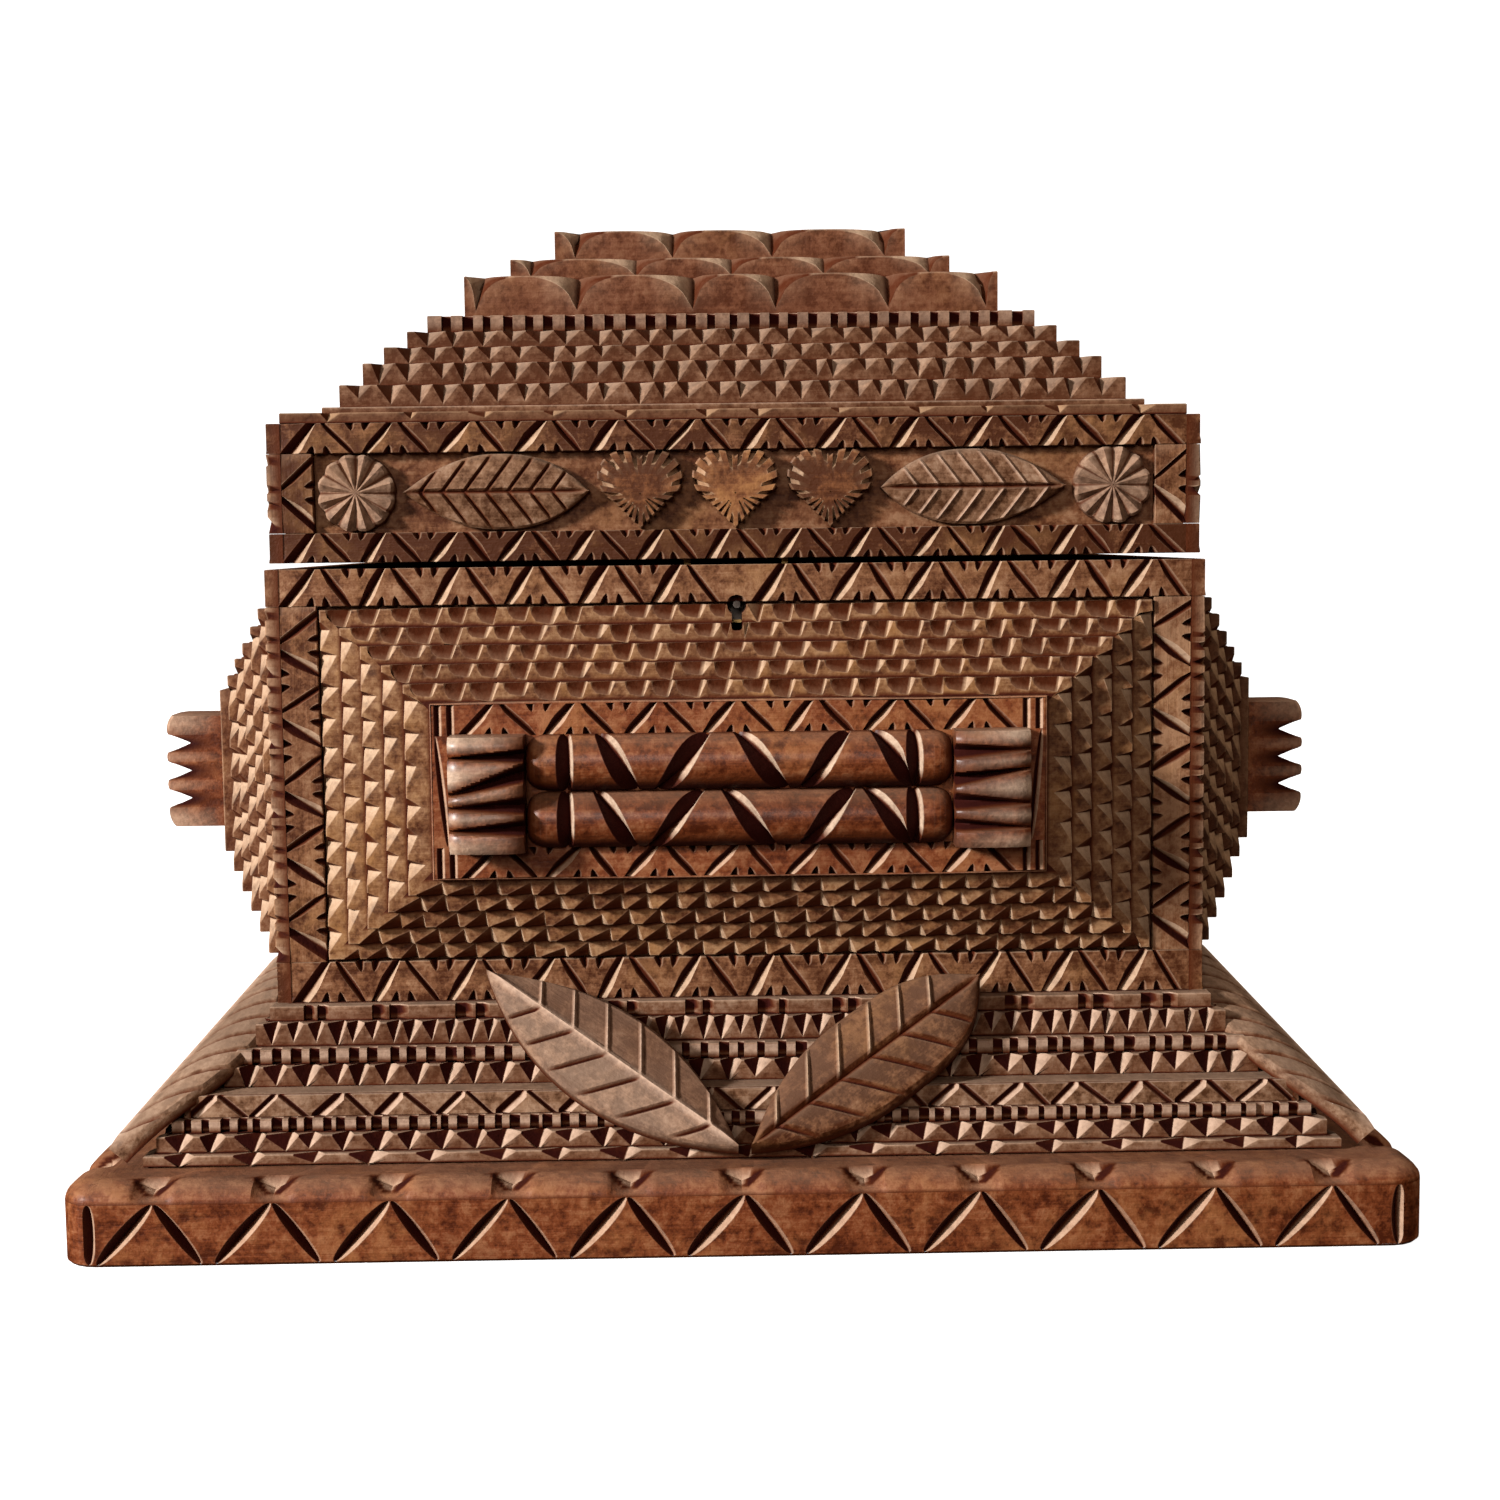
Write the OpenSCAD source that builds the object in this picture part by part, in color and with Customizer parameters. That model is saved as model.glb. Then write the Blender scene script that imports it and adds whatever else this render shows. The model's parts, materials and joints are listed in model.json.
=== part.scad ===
/* [Case] */
// Width of the case over its carcass
body_w = 222; // [200:1:260]
// Depth of the case over its front and back frames
body_d = 176; // [160:1:210]
// Height of the case walls
body_h = 106.5; // [96:0.5:130]
// Thickness of the carcass walls of case and lid
wall_t = 9; // [7:0.5:12]
// Thickness of the case floor
floor_t = 6; // [4:0.5:10]
// Thickness of the frame strips on every side
frame_t = 3.5; // [2.5:0.1:4.2]
// Height of the top rail of the case frames
rail_top_h = 9; // [8:0.5:12]
// Height of the bottom rail of the case frames
rail_bottom_h = 10; // [8:0.5:12]
// Width of the upright strips of the case frames
stile_w = 9; // [7:0.5:12]

/* [Stepped panels] */
// Thickness of the lowest board of the front and back panels, which stands a little proud of the frame
first_t = 4.5; // [4.3:0.1:6]
// Thickness of the lowest board of the side panels
side_first_t = 7.2; // [5:0.1:9]
// Thickness of each further panel board
layer_t = 3.2; // [2.4:0.1:4]
// Set-back of each panel board from the one below at its ends
layer_step_x = 5.4; // [4:0.1:6]
// Set-back of each panel board from the one below at top and bottom
layer_step_z = 4.4; // [3.4:0.1:5]
// Gap between the frame strips and the lowest panel board
panel_gap = 0.6; // [0.3:0.1:1]
// Pitch of the notches along the panel boards
notch_pitch = 6.8; // [5.5:0.1:9]
// Width of a panel notch at the edge
notch_w = 3.4; // [2:0.1:4]
// Depth of a panel notch
notch_depth = 2.4; // [1.5:0.1:3]
// Thickness of the plaque under each handle
plaque_t = 3.5; // [2.5:0.1:5]
// Margin of the plaque from the edge of the uppermost panel board at its ends
plaque_margin_x = 6.5; // [4:0.5:9]
// Margin of the plaque from the edge of the uppermost panel board at top and bottom
plaque_margin_z = 4.3; // [3:0.1:5]

/* [Handles] */
// Length of the front handle over its end blocks
handle_front_len = 136; // [110:1:140]
// Length of the side handles over their end blocks
handle_side_len = 98; // [80:1:100]
// Width of each handle end block
block_w = 17.5; // [12:0.5:22]
// Height of the handle end blocks
block_h = 29; // [22:0.5:34]
// Height of the front end blocks off the plaque, to the tips of their ridges
block_out = 11; // [8:0.5:16]
// Height of the side end blocks off the plaque, to the tips of their ridges
side_block_out = 15.5; // [9:0.5:18]
// Number of ridges on each front end block
block_ridges = 5; // [3:1:7]
// Number of ridges on each side end block
side_block_ridges = 4; // [3:1:7]
// Depth of the wedge grooves between the ridges
ridge_depth = 4; // [2:0.5:6]
// Radius of the half-round bars between the end blocks
bar_r = 6.7; // [5:0.1:7]
// Depth of the slanting gouges across the bars
bar_gouge = 3; // [1.5:0.5:4]
// Number of slanting gouges on each front bar
bar_gouges = 5; // [3:1:7]
// Number of slanting gouges on each side bar
side_bar_gouges = 3; // [1:1:4]
// Lean of the gouges across the bars
bar_gouge_lean = 50; // [40:1:65]

/* [Pedestal] */
// Width of the plinth board
plinth_w = 315; // [300:1:360]
// Depth of the plinth board
plinth_d = 267; // [256:1:310]
// Height of the plinth board
plinth_h = 19; // [15:0.5:30]
// Radius of the upright corners of the plinth
plinth_corner_r = 9; // [7:1:16]
// Bevel along the upper edge of the plinth
plinth_bevel = 4; // [2:0.5:6]
// Depth of the gouges round the plinth
plinth_gouge = 3.2; // [2:0.2:5]
// Pitch of the paired gouges round the plinth
plinth_pitch = 25.4; // [20:0.1:34]
// Share of the slanting run that each plinth gouge takes up
plinth_stroke = 0.86; // [0.6:0.01:0.9]
// Thickness of the lowest pedestal step, with wide-set chips
step_1_t = 2.5; // [2:0.1:5]
// Thickness of the second step, with broad notches
step_2_t = 3.9; // [2:0.1:5]
// Thickness of the third step, with close square notches
step_3_t = 3.1; // [2:0.1:5]
// Thickness of the fourth step, with a zigzag
step_4_t = 5.2; // [3:0.1:6]
// Thickness of the fifth step, with wedge notches
step_5_t = 4.9; // [3:0.1:7]
// Thickness of the sixth step, with close square notches
step_6_t = 3.6; // [2:0.1:5]
// Thickness of the seventh step, with close wedge notches
step_7_t = 5.5; // [3:0.1:6]
// Thickness of the eighth step, with notches in pairs
step_8_t = 3.6; // [2:0.1:5]
// How far the lowest step stands out from the case
step_1_out = 30; // [29:0.5:31]
// How far the second step stands out
step_2_out = 27.5; // [26.5:0.5:28.5]
// How far the third step stands out
step_3_out = 24.5; // [23.5:0.5:26]
// How far the fourth step stands out
step_4_out = 22; // [20:0.5:23]
// How far the fifth step stands out
step_5_out = 14; // [13:0.5:17]
// How far the sixth step stands out
step_6_out = 11.5; // [10.5:0.5:12.5]
// How far the seventh step stands out
step_7_out = 7.5; // [6.5:0.5:9.5]
// How far the eighth step stands out
step_8_out = 4.5; // [4:0.5:6]

/* [Pedestal notches] */
// Depth of the notches round the steps
step_notch = 2; // [1.2:0.1:2.4]
// Pitch of the wide-set chips of the lowest step
step_1_pitch = 18; // [12:0.5:24]
// Width of the chips of the lowest step
step_1_notch_w = 3.6; // [2:0.1:6]
// Pitch of the broad notches of the second step
step_2_pitch = 7.8; // [6:0.1:12]
// Width of the broad notches of the second step
step_2_notch_w = 3.6; // [2:0.1:5]
// Pitch of the square notches of the third step
step_3_pitch = 4.2; // [3.6:0.1:7]
// Width of the square notches of the third step
step_3_notch_w = 2; // [1.2:0.1:2.8]
// Pitch of the nicks of the fourth step
step_4_pitch = 16; // [10:0.5:22]
// Width of the nicks of the fourth step
step_4_notch_w = 2.4; // [1.2:0.1:5]
// Pitch of the wedge notches of the fifth step
step_5_pitch = 7.1; // [6:0.1:10]
// Width of the wedge notches of the fifth step
step_5_notch_w = 4; // [2:0.1:5]
// Pitch of the square notches of the sixth step
step_6_pitch = 5; // [4:0.1:8]
// Width of the square notches of the sixth step
step_6_notch_w = 2.4; // [1.2:0.1:3]
// Pitch of the wedge notches of the seventh step
step_7_pitch = 5; // [4.6:0.1:8]
// Width of the wedge notches of the seventh step
step_7_notch_w = 3.4; // [2:0.1:4]
// Pitch of the paired notches of the eighth step
step_8_pitch = 18.5; // [12:0.5:24]
// Width over both notches of a pair on the eighth step
step_8_notch_w = 7; // [4:0.5:9]

/* [Pedestal leaves] */
// Length of each pedestal leaf
leaf_len = 77; // [60:1:80]
// Width of each pedestal leaf
leaf_w = 25; // [18:0.5:30]
// Thickness of each pedestal leaf at its middle
leaf_t = 5.5; // [4:0.5:8]
// Drop of a leaf's crowned face from its middle to its edge
leaf_crown = 1.6; // [0.8:0.1:2.5]
// Lean of the front leaves from the level
leaf_front_lean = 38; // [25:1:40]
// Distance of the front leaves' middles above the middle of the slope
leaf_rise = 1.5; // [0:0.1:2]
// Gap between the two front leaves at the foot of their V
leaf_foot_gap = 3; // [2.5:0.5:12]
// Lean of the side leaves from the level
leaf_side_lean = 36; // [25:1:45]

/* [Lid] */
// Set-back of each end of the lid's carcass from the case's
lid_set_back = 1.5; // [0.5:0.1:4]
// Height of the lid's sides with its top board
lid_h = 36; // [33:0.2:40]
// Thickness of the lid's top board
lid_top_t = 2.5; // [2:0.1:4]
// Gap between case and lid when shut
lid_gap = 1.5; // [0.8:0.1:2.5]
// Height of the top rail of the lid frames
lid_rail_top_h = 7.2; // [7:0.1:9]
// Height of the bottom rail of the lid frames
lid_rail_bottom_h = 7.1; // [7:0.1:9]
// Width of the upright strips of the lid frames
lid_stile_w = 7.5; // [6:0.5:10]
// Thickness of the thin sheet under the lid's stepped boards
lid_sheet_t = 1.8; // [1:0.1:2.5]
// Set-back of the thin sheet from the lid's edge
lid_sheet_in = 8.5; // [7:0.5:11]
// Thickness of the two lower stepped boards of the lid
lid_board_t = 5.6; // [4:0.1:7]
// Thickness of the three upper stepped boards of the lid
lid_thin_t = 4.3; // [2.4:0.1:5.5]
// Set-back of the lowest stepped board from the lid's edge
lid_board_in = 12.5; // [12:0.1:16]
// Set-back of each stepped board of the lid from the one below
lid_step = 4.9; // [4:0.1:5.5]
// Thickness of the lowest crown board
crown_1_t = 10.8; // [6:0.1:14]
// Thickness of the middle crown board
crown_2_t = 5.5; // [5:0.1:8]
// Thickness of the top crown board
crown_3_t = 8.6; // [6:0.1:12]
// Set-back of the lowest crown board from the lid's edge
crown_in = 40.6; // [39:0.1:44]
// Set-back of each crown board from the one below
crown_step = 11; // [9:0.1:13]
// Pitch of the scallops along the crown boards
scallop_pitch = 28; // [20:1:36]
// Depth of the gouge between two scallops
scallop_depth = 4.4; // [3:0.1:5]

/* [Lid ornaments] */
// Thickness of the ornaments on the lid's front
ornament_t = 4.6; // [3:0.1:6]
// Gap between the ornaments and the rails above and below them
band_edge = 0.2; // [0.1:0.1:1]
// Gap between neighbouring ornaments
band_gap = 1; // [0.5:0.1:3]
// Radius of a heart's two lobes, as a share of its square's side
heart_lobe = 0.52; // [0.51:0.01:0.53]
// Gap between neighbouring hearts
heart_gap = 2.2; // [1:0.1:4]
// Number of petals on each rosette
rosette_petals = 12; // [8:1:16]
// Depth of the grooves between the petals
rosette_groove = 1.6; // [0.8:0.1:2.4]
// Diameter of the plain middle of each rosette
rosette_eye_d = 3.8; // [2:0.1:6]
// Share of the band's clear height that each leaf on it takes up
band_leaf_share = 0.97; // [0.7:0.01:1]

/* [Lock] */
// Width of the lock's case
lock_w = 50; // [46:1:60]
// Height of the lock's case
lock_h = 26; // [24:1:34]
// Depth of the lock's case in the front wall
lock_d = 6.6; // [6.4:0.1:6.8]
// Thickness of the lock's sheet metal
lock_sheet = 1; // [0.8:0.1:1.2]
// Clearance round the lock in its recess
lock_fit = 0.2; // [0.1:0.1:0.5]
// Distance of the keyhole's round part below the top of the case
key_drop = 9.8; // [9.8:0.1:11]
// Diameter of the round part of the keyhole
key_d = 4.6; // [3.5:0.1:5]
// Width of the keyhole's slot
key_slot_w = 2.4; // [1.6:0.1:3]
// Length of the slot below the middle of the round part
key_slot_len = 6; // [4.5:0.1:7]
// Diameter of the drill pin in the keyhole
drill_pin_d = 1.8; // [1.2:0.1:2]
// Travel of the lock bolt
bolt_travel = 4.5; // [4:0.1:5]
// Distance of each staple from the middle of the lock
staple_x = 12; // [11.8:0.1:13]
// Thickness of each staple
staple_t = 1.6; // [1.2:0.1:2]
// Clearance round the bolt and the staples
bolt_fit = 0.4; // [0.3:0.1:0.5]
// Distance of the staples' eyes below the top of the case
eye_drop = 5.5; // [5.2:0.1:5.8]
// Height of the eye in each staple
eye_h = 3.4; // [3:0.1:3.8]
// Metal left round each eye, at its sides and below
eye_wall = 0.7; // [0.6:0.1:1]
// Depth of the bolt's prongs
prong_d = 1.8; // [1.4:0.1:2.2]
// Length of the bolt's prongs
prong_len = 6.5; // [6:0.1:7]
// Room between a withdrawn prong and its staple
prong_room = 1; // [0.5:0.1:1.2]
// Width of the posts that carry the prongs
post_w = 2; // [1.5:0.1:2.5]
// Height of the bolt's bar
bolt_bar_h = 3; // [2:0.1:3.2]
// Depth of the bolt's bar
bolt_bar_d = 2.4; // [2:0.1:3]
// Room between the drill pin and the bolt's bar
bolt_bar_room = 3; // [1:0.1:3.2]
// Thickness of the link plate in the lid
link_t = 1; // [0.8:0.1:1.2]
// Reach of the link plate past each staple
link_reach = 6; // [4:0.5:8]
// Set-back of the link plate from the lock's two faces
link_in = 0.3; // [0.2:0.1:0.5]

/* [Hinges] */
// Width of each hinge
hinge_w = 30; // [22:1:44]
// Height of each hinge leaf
hinge_leaf_h = 6.8; // [6:0.1:7]
// Thickness of each hinge leaf
hinge_leaf_t = 1; // [0.8:0.1:1.4]
// Outer radius of the hinge knuckles
knuckle_r = 2.2; // [2:0.1:2.8]
// Diameter of the hinge pins
hinge_pin_d = 2; // [1.6:0.1:2.2]
// Radial clearance of the pin in the knuckles
pin_fit = 0.05; // [0.03:0.01:0.1]
// End clearance between neighbouring knuckles
knuckle_gap = 0.4; // [0.2:0.1:0.8]
// Distance of each hinge from the middle
hinge_x = 68; // [50:1:80]

/* [Hidden] */
$fn = 64;

// Glue line left between neighbouring strips and boards of one glued group
glue = 0.1;
// Overlap that lets a cut break through a face
eps = 0.1;

// Notch outlines, as points across the notch's width and down its depth
wedge = [[0, 0], [0.5, 1], [1, 0]];
slot = [[0, 0], [0, 1], [1, 1], [1, 0]];
trough = [[0, 0], [0.22, 1], [0.78, 1], [1, 0]];
pair = [[0, 0], [0, 1], [0.36, 1], [0.36, 0], [0.64, 0], [0.64, 1], [1, 1], [1, 0]];

// Thickness, stand-out, notch pitch, notch width and notch outline of each pedestal step
steps = [
  [step_1_t, step_1_out, step_1_pitch, step_1_notch_w, wedge],
  [step_2_t, step_2_out, step_2_pitch, step_2_notch_w, trough],
  [step_3_t, step_3_out, step_3_pitch, step_3_notch_w, slot],
  [step_4_t, step_4_out, step_4_pitch, step_4_notch_w, wedge],
  [step_5_t, step_5_out, step_5_pitch, step_5_notch_w, wedge],
  [step_6_t, step_6_out, step_6_pitch, step_6_notch_w, slot],
  [step_7_t, step_7_out, step_7_pitch, step_7_notch_w, wedge],
  [step_8_t, step_8_out, step_8_pitch, step_8_notch_w, pair]
];
step_count = len(steps);

// Height of the foot of step k above the ground, counting from 0
function step_z(k) = k == 0 ? plinth_h : step_z(k - 1) + steps[k - 1][0];

z_body = step_z(step_count);
z_case = z_body + body_h;
z_lid = z_case + lid_gap;
z_lid_top = z_lid + lid_h;
lid_wall_h = lid_h - lid_top_t;
lid_w = body_w - 2 * lid_set_back;
carcass_d = body_d - 2 * frame_t;

// Turn of each side from the front
front = 0;
right = 90;
back = 180;
left = 270;

// Stepped boards of the panels
layer_count = 5;
panel_h = body_h - rail_top_h - rail_bottom_h - 2 * panel_gap;
panel_z = z_body + rail_bottom_h + panel_gap + panel_h / 2;
front_panel_w = body_w - 2 * stile_w - 2 * panel_gap;
side_panel_w = body_d - 2 * stile_w - 2 * panel_gap;
function layer_w(panel_w, k) = panel_w - 2 * k * layer_step_x;
function layer_h(k) = panel_h - 2 * k * layer_step_z;
function on_end(side) = side == right || side == left;
function layer_thick(side, k) = k > 0 ? layer_t : on_end(side) ? side_first_t : first_t;
function layer_foot(side, k) = k == 0 ? 0 : layer_thick(side, 0) + (k - 1) * layer_t;
function panel_out(side) = layer_foot(side, layer_count);
plaque_h = layer_h(layer_count - 1) - 2 * plaque_margin_z;
front_plaque_w = layer_w(front_panel_w, layer_count - 1) - 2 * plaque_margin_x;
side_plaque_w = layer_w(side_panel_w, layer_count - 1) - 2 * plaque_margin_x;

// Distance of the carcass face of one side from the middle
function face_dist(side) = on_end(side) ? body_w / 2 : carcass_d / 2;

// Stepped boards of the lid
function lid_in(k) = k == 0 ? lid_sheet_in : lid_board_in + (k - 1) * lid_step;
function lid_thick(k) = k == 0 ? lid_sheet_t : k < 3 ? lid_board_t : lid_thin_t;
function lid_foot(k) = k == 0 ? z_lid_top : lid_foot(k - 1) + lid_thick(k - 1);
lid_layers = 6;
crown_t = [crown_1_t, crown_2_t, crown_3_t];
function crown_foot(k) = k == 0 ? lid_foot(lid_layers) : crown_foot(k - 1) + crown_t[k - 1];

// Lock and key
lock_y = -carcass_d / 2 + wall_t - lock_d / 2;
key_z = z_case - key_drop;
eye_z = z_case - eye_drop;
prong_h = eye_h - 2 * bolt_fit;
bolt_bar_top = key_drop + drill_pin_d / 2 + bolt_bar_room;
staple_d = prong_d + 2 * bolt_fit + 2 * eye_wall;
staple_foot = eye_z - eye_h / 2 - 2 * eye_wall;
link_w = 2 * staple_x + 2 * link_reach;
link_d = lock_d - 2 * link_in;

// Hinge line
hinge_y = body_d / 2 + knuckle_r;
hinge_z = z_case + lid_gap / 2;
knuckle_len = (hinge_w - 2 * knuckle_gap) / 3;

red_brown = [0.42, 0.22, 0.13];
mid_brown = [0.45, 0.29, 0.18];
dusty_tan = [0.56, 0.44, 0.33];
golden = [0.58, 0.38, 0.20];
dark_brown = [0.33, 0.21, 0.14];
brass = [0.62, 0.50, 0.28];
iron = [0.30, 0.29, 0.28];

// Notch points along one edge of a given length, as distance along and depth in
// They are evenly spread, clear of the notches round the corner
function edge_notches(length, pitch, w, depth, outline) =
  let (n = max(1, floor((length - 2 * depth) / pitch)))
  let (p = (length - 2 * depth) / n)
  [for (i = [0:n - 1]) for (q = outline) [depth + (i + 0.5) * p + (q[0] - 0.5) * w, q[1] * depth]];

// Rectangle with notched edges, centred on the origin
function notched_rect(w, d, pitch, nw, depth, outline) =
  let (across = edge_notches(w, pitch, nw, depth, outline))
  let (along = edge_notches(d, pitch, nw, depth, outline))
  concat(
    [[-w / 2, -d / 2]], [for (q = across) [-w / 2 + q[0], -d / 2 + q[1]]],
    [[w / 2, -d / 2]], [for (q = along) [w / 2 - q[1], -d / 2 + q[0]]],
    [[w / 2, d / 2]], [for (q = across) [w / 2 - q[0], d / 2 - q[1]]],
    [[-w / 2, d / 2]], [for (q = along) [-w / 2 + q[1], d / 2 - q[0]]]
  );

// Turns a flat shape drawn in X and Z to stand against one side, its foot at the given distance out
module stand_on(side, out, z) {
  rotate([0, 0, side])
    translate([0, -out, z])
      rotate([90, 0, 0])
        children();
}

// Board with notches along all four edges
module notched_board(w, d, t) {
  linear_extrude(t)
    polygon(notched_rect(w, d, notch_pitch, notch_w, notch_depth, wedge));
}

// Plain rectangle lying flat, centred
module board(w, d, t) {
  translate([-w / 2, -d / 2, 0])
    cube([w, d, t]);
}

// Prism with a V section, its edge pointing down, along X and centred
module v_cut(length, w, depth) {
  translate([-length / 2, 0, 0])
    rotate([90, 0, 90])
      linear_extrude(length)
        polygon([[-w / 2, 0], [0, -depth], [w / 2, 0]]);
}

// Leaf outline where two arcs cross
module leaf_outline(length, w) {
  r = (length * length + w * w) / (4 * w);
  intersection() {
    translate([0, r - w / 2]) circle(r, $fn = 180);
    translate([0, w / 2 - r]) circle(r, $fn = 180);
  }
}

// Leaf with a crowned face
module leaf(length, w, t, crown) {
  crown_r = (w * w / 4 + crown * crown) / (2 * crown);
  intersection() {
    linear_extrude(t) leaf_outline(length, w);
    translate([-length, 0, t - crown_r])
      rotate([0, 90, 0])
        cylinder(r = crown_r, h = 2 * length, $fn = 180);
  }
}

// Heart drawn round a square stood on its corner
module heart(s, t) {
  linear_extrude(t) {
    rotate(45) square(s, center = true);
    for (side = [-1, 1])
      translate([side * s * lobe_x, s * lobe_x]) circle(s * heart_lobe);
  }
}

// Rounded rectangle with true arcs at its corners
module rounded_rect(w, d, r) {
  square([w - 2 * r, d], center = true);
  square([w, d - 2 * r], center = true);
  for (sx = [-1, 1], sy = [-1, 1])
    translate([sx * (w / 2 - r), sy * (d / 2 - r)]) circle(r);
}

// Plinth

// Slanting gouges along one side of the plinth
module plinth_gouges(length) {
  n = floor((length - 2 * plinth_corner_r) / plinth_pitch);
  p = (length - 2 * plinth_corner_r) / n;
  face_h = plinth_h - plinth_bevel;
  stroke = sqrt(face_h * face_h + p * p / 4);
  lean = atan2(face_h, p / 2);
  for (i = [0:2 * n - 1])
    translate([-length / 2 + plinth_corner_r + (i + 0.5) * p / 2, face_h / 2, 0])
      rotate([0, 0, (i % 2 == 0 ? 1 : -1) * lean])
        translate([0, 0, eps])
          v_cut(stroke * plinth_stroke, 2 * plinth_gouge, plinth_gouge + eps);
}

module plinth() {
  top_w = plinth_w - 2 * plinth_bevel;
  top_d = plinth_d - 2 * plinth_bevel;
  color(red_brown)
    difference() {
      union() {
        linear_extrude(plinth_h - plinth_bevel)
          rounded_rect(plinth_w, plinth_d, plinth_corner_r);
        linear_extrude(plinth_h)
          rounded_rect(top_w, top_d, plinth_corner_r - plinth_bevel);
      }
      for (side = [front, back])
        stand_on(side, plinth_d / 2, 0) plinth_gouges(plinth_w);
      for (side = [right, left])
        stand_on(side, plinth_w / 2, 0) plinth_gouges(plinth_d);
    }
}

// Pedestal steps

module pedestal_step(k) {
  s = steps[k];
  color(k % 2 == 0 ? dusty_tan : mid_brown)
    translate([0, 0, step_z(k)])
      linear_extrude(s[0])
        polygon(notched_rect(body_w + 2 * s[1], body_d + 2 * s[1], s[2], s[3], step_notch, s[4]));
}

module step_1() { pedestal_step(0); }
module step_2() { pedestal_step(1); }
module step_3() { pedestal_step(2); }
module step_4() { pedestal_step(3); }
module step_5() { pedestal_step(4); }
module step_6() { pedestal_step(5); }
module step_7() { pedestal_step(6); }
module step_8() { pedestal_step(7); }

// Leaves over the steps

// The steps' outer edges, as stand-out and height
function step_edge(k) = [steps[k][1], step_z(k + 1)];
slope_foot = step_edge(0);
slope_head = step_edge(step_count - 1);
slope = atan2(slope_head[1] - slope_foot[1], slope_foot[0] - slope_head[0]);
slope_len = norm(slope_head - slope_foot);
// How far a step's edge stands off the line from the lowest edge to the highest
function edge_rise(k) =
  let (e = step_edge(k))
  (e[1] - slope_foot[1]) * cos(slope) - (slope_foot[0] - e[0]) * sin(slope);
leaf_seat = max([for (k = [0:step_count - 1]) edge_rise(k)]);

// Puts a leaf on the slope of one side: along it, up the slope and turned
module on_slope(side, half, along, up, turn) {
  rotate([0, 0, side])
    translate([along, -half - slope_foot[0], slope_foot[1]])
      rotate([slope, 0, 0])
        translate([0, up, leaf_seat])
          rotate([0, 0, turn])
            children();
}

module front_leaf(hand) {
  reach = leaf_len / 2 * cos(leaf_front_lean) + leaf_foot_gap / 2;
  color(dusty_tan)
    on_slope(front, body_d / 2, hand * reach, slope_len / 2 + leaf_rise, hand * leaf_front_lean)
      leaf(leaf_len, leaf_w, leaf_t, leaf_crown);
}

module leaf_front_left() { front_leaf(-1); }
module leaf_front_right() { front_leaf(1); }

module side_leaves(side) {
  color(dusty_tan)
    for (hand = [-1, 1])
      on_slope(side, body_w / 2, hand * body_d / 2, slope_len / 2, -hand * leaf_side_lean)
        leaf(leaf_len, leaf_w, leaf_t, leaf_crown);
}

module leaves_left() { side_leaves(left); }
module leaves_right() { side_leaves(right); }

// Case

module case_floor() {
  color(dark_brown)
    translate([0, 0, z_body])
      board(body_w - 2 * wall_t, carcass_d - 2 * wall_t, floor_t);
}

// Keyhole through the front, with its slot
module keyhole(depth) {
  translate([0, 0, key_z])
    rotate([90, 0, 0])
      translate([0, 0, carcass_d / 2 - wall_t]) {
        cylinder(d = key_d, h = depth);
        translate([-key_slot_w / 2, -key_slot_len, 0])
          cube([key_slot_w, key_slot_len, depth]);
      }
}
key_reach = wall_t + first_t + layer_t;

module case_front() {
  color(dark_brown)
    difference() {
      translate([0, -carcass_d / 2 + wall_t / 2, z_body])
        board(body_w, wall_t, body_h);
      translate([0, lock_y + eps / 2, z_case - lock_h - lock_fit])
        board(lock_w + 2 * lock_fit, lock_d + lock_fit + eps, lock_h + lock_fit + eps);
      keyhole(key_reach);
    }
}

module case_back() {
  color(dark_brown)
    translate([0, carcass_d / 2 - wall_t / 2, z_body])
      board(body_w, wall_t, body_h);
}

module case_end(hand) {
  color(dark_brown)
    translate([hand * (body_w - wall_t) / 2, 0, z_body])
      board(wall_t, carcass_d - 2 * wall_t, body_h);
}

module case_left() { case_end(-1); }
module case_right() { case_end(1); }

// Four frame strips round one side, drawn flat, with the foot of the side at Y = 0
module frame_strips(w, h, top_h, bottom_h, upright_w) {
  translate([-w / 2, h - top_h, 0]) cube([w, top_h, frame_t]);
  translate([-w / 2, 0, 0]) cube([w, bottom_h, frame_t]);
  for (hand = [-1, 1])
    translate([hand * (w - upright_w) / 2 - upright_w / 2, bottom_h + glue, 0])
      cube([upright_w, h - top_h - bottom_h - 2 * glue, frame_t]);
}

module front_frame() {
  color(mid_brown)
    difference() {
      stand_on(front, carcass_d / 2, z_body)
        frame_strips(body_w, body_h, rail_top_h, rail_bottom_h, stile_w);
      keyhole(key_reach);
    }
}

module case_side_frame(side) {
  color(mid_brown)
    stand_on(side, body_w / 2, z_body)
      frame_strips(body_d, body_h, rail_top_h, rail_bottom_h, stile_w);
}

module left_frame() { case_side_frame(left); }
module right_frame() { case_side_frame(right); }

// Stepped panels

module panel_layer(side, panel_w, k, lift) {
  stand_on(side, face_dist(side) + layer_foot(side, k) + lift, panel_z)
    notched_board(layer_w(panel_w, k), layer_h(k), layer_thick(side, k) - lift);
}

module front_layer(k) {
  color(k % 2 == 0 ? dusty_tan : mid_brown)
    panel_layer(front, front_panel_w, k, 0);
}

module front_layer_1() {
  difference() {
    front_layer(0);
    keyhole(key_reach);
  }
}
module front_layer_2() {
  difference() {
    front_layer(1);
    keyhole(key_reach);
  }
}
module front_layer_3() { front_layer(2); }
module front_layer_4() { front_layer(3); }
module front_layer_5() { front_layer(4); }

module stepped_panel(side, panel_w) {
  for (k = [0:layer_count - 1])
    panel_layer(side, panel_w, k, k == 0 ? 0 : glue);
}

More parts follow.
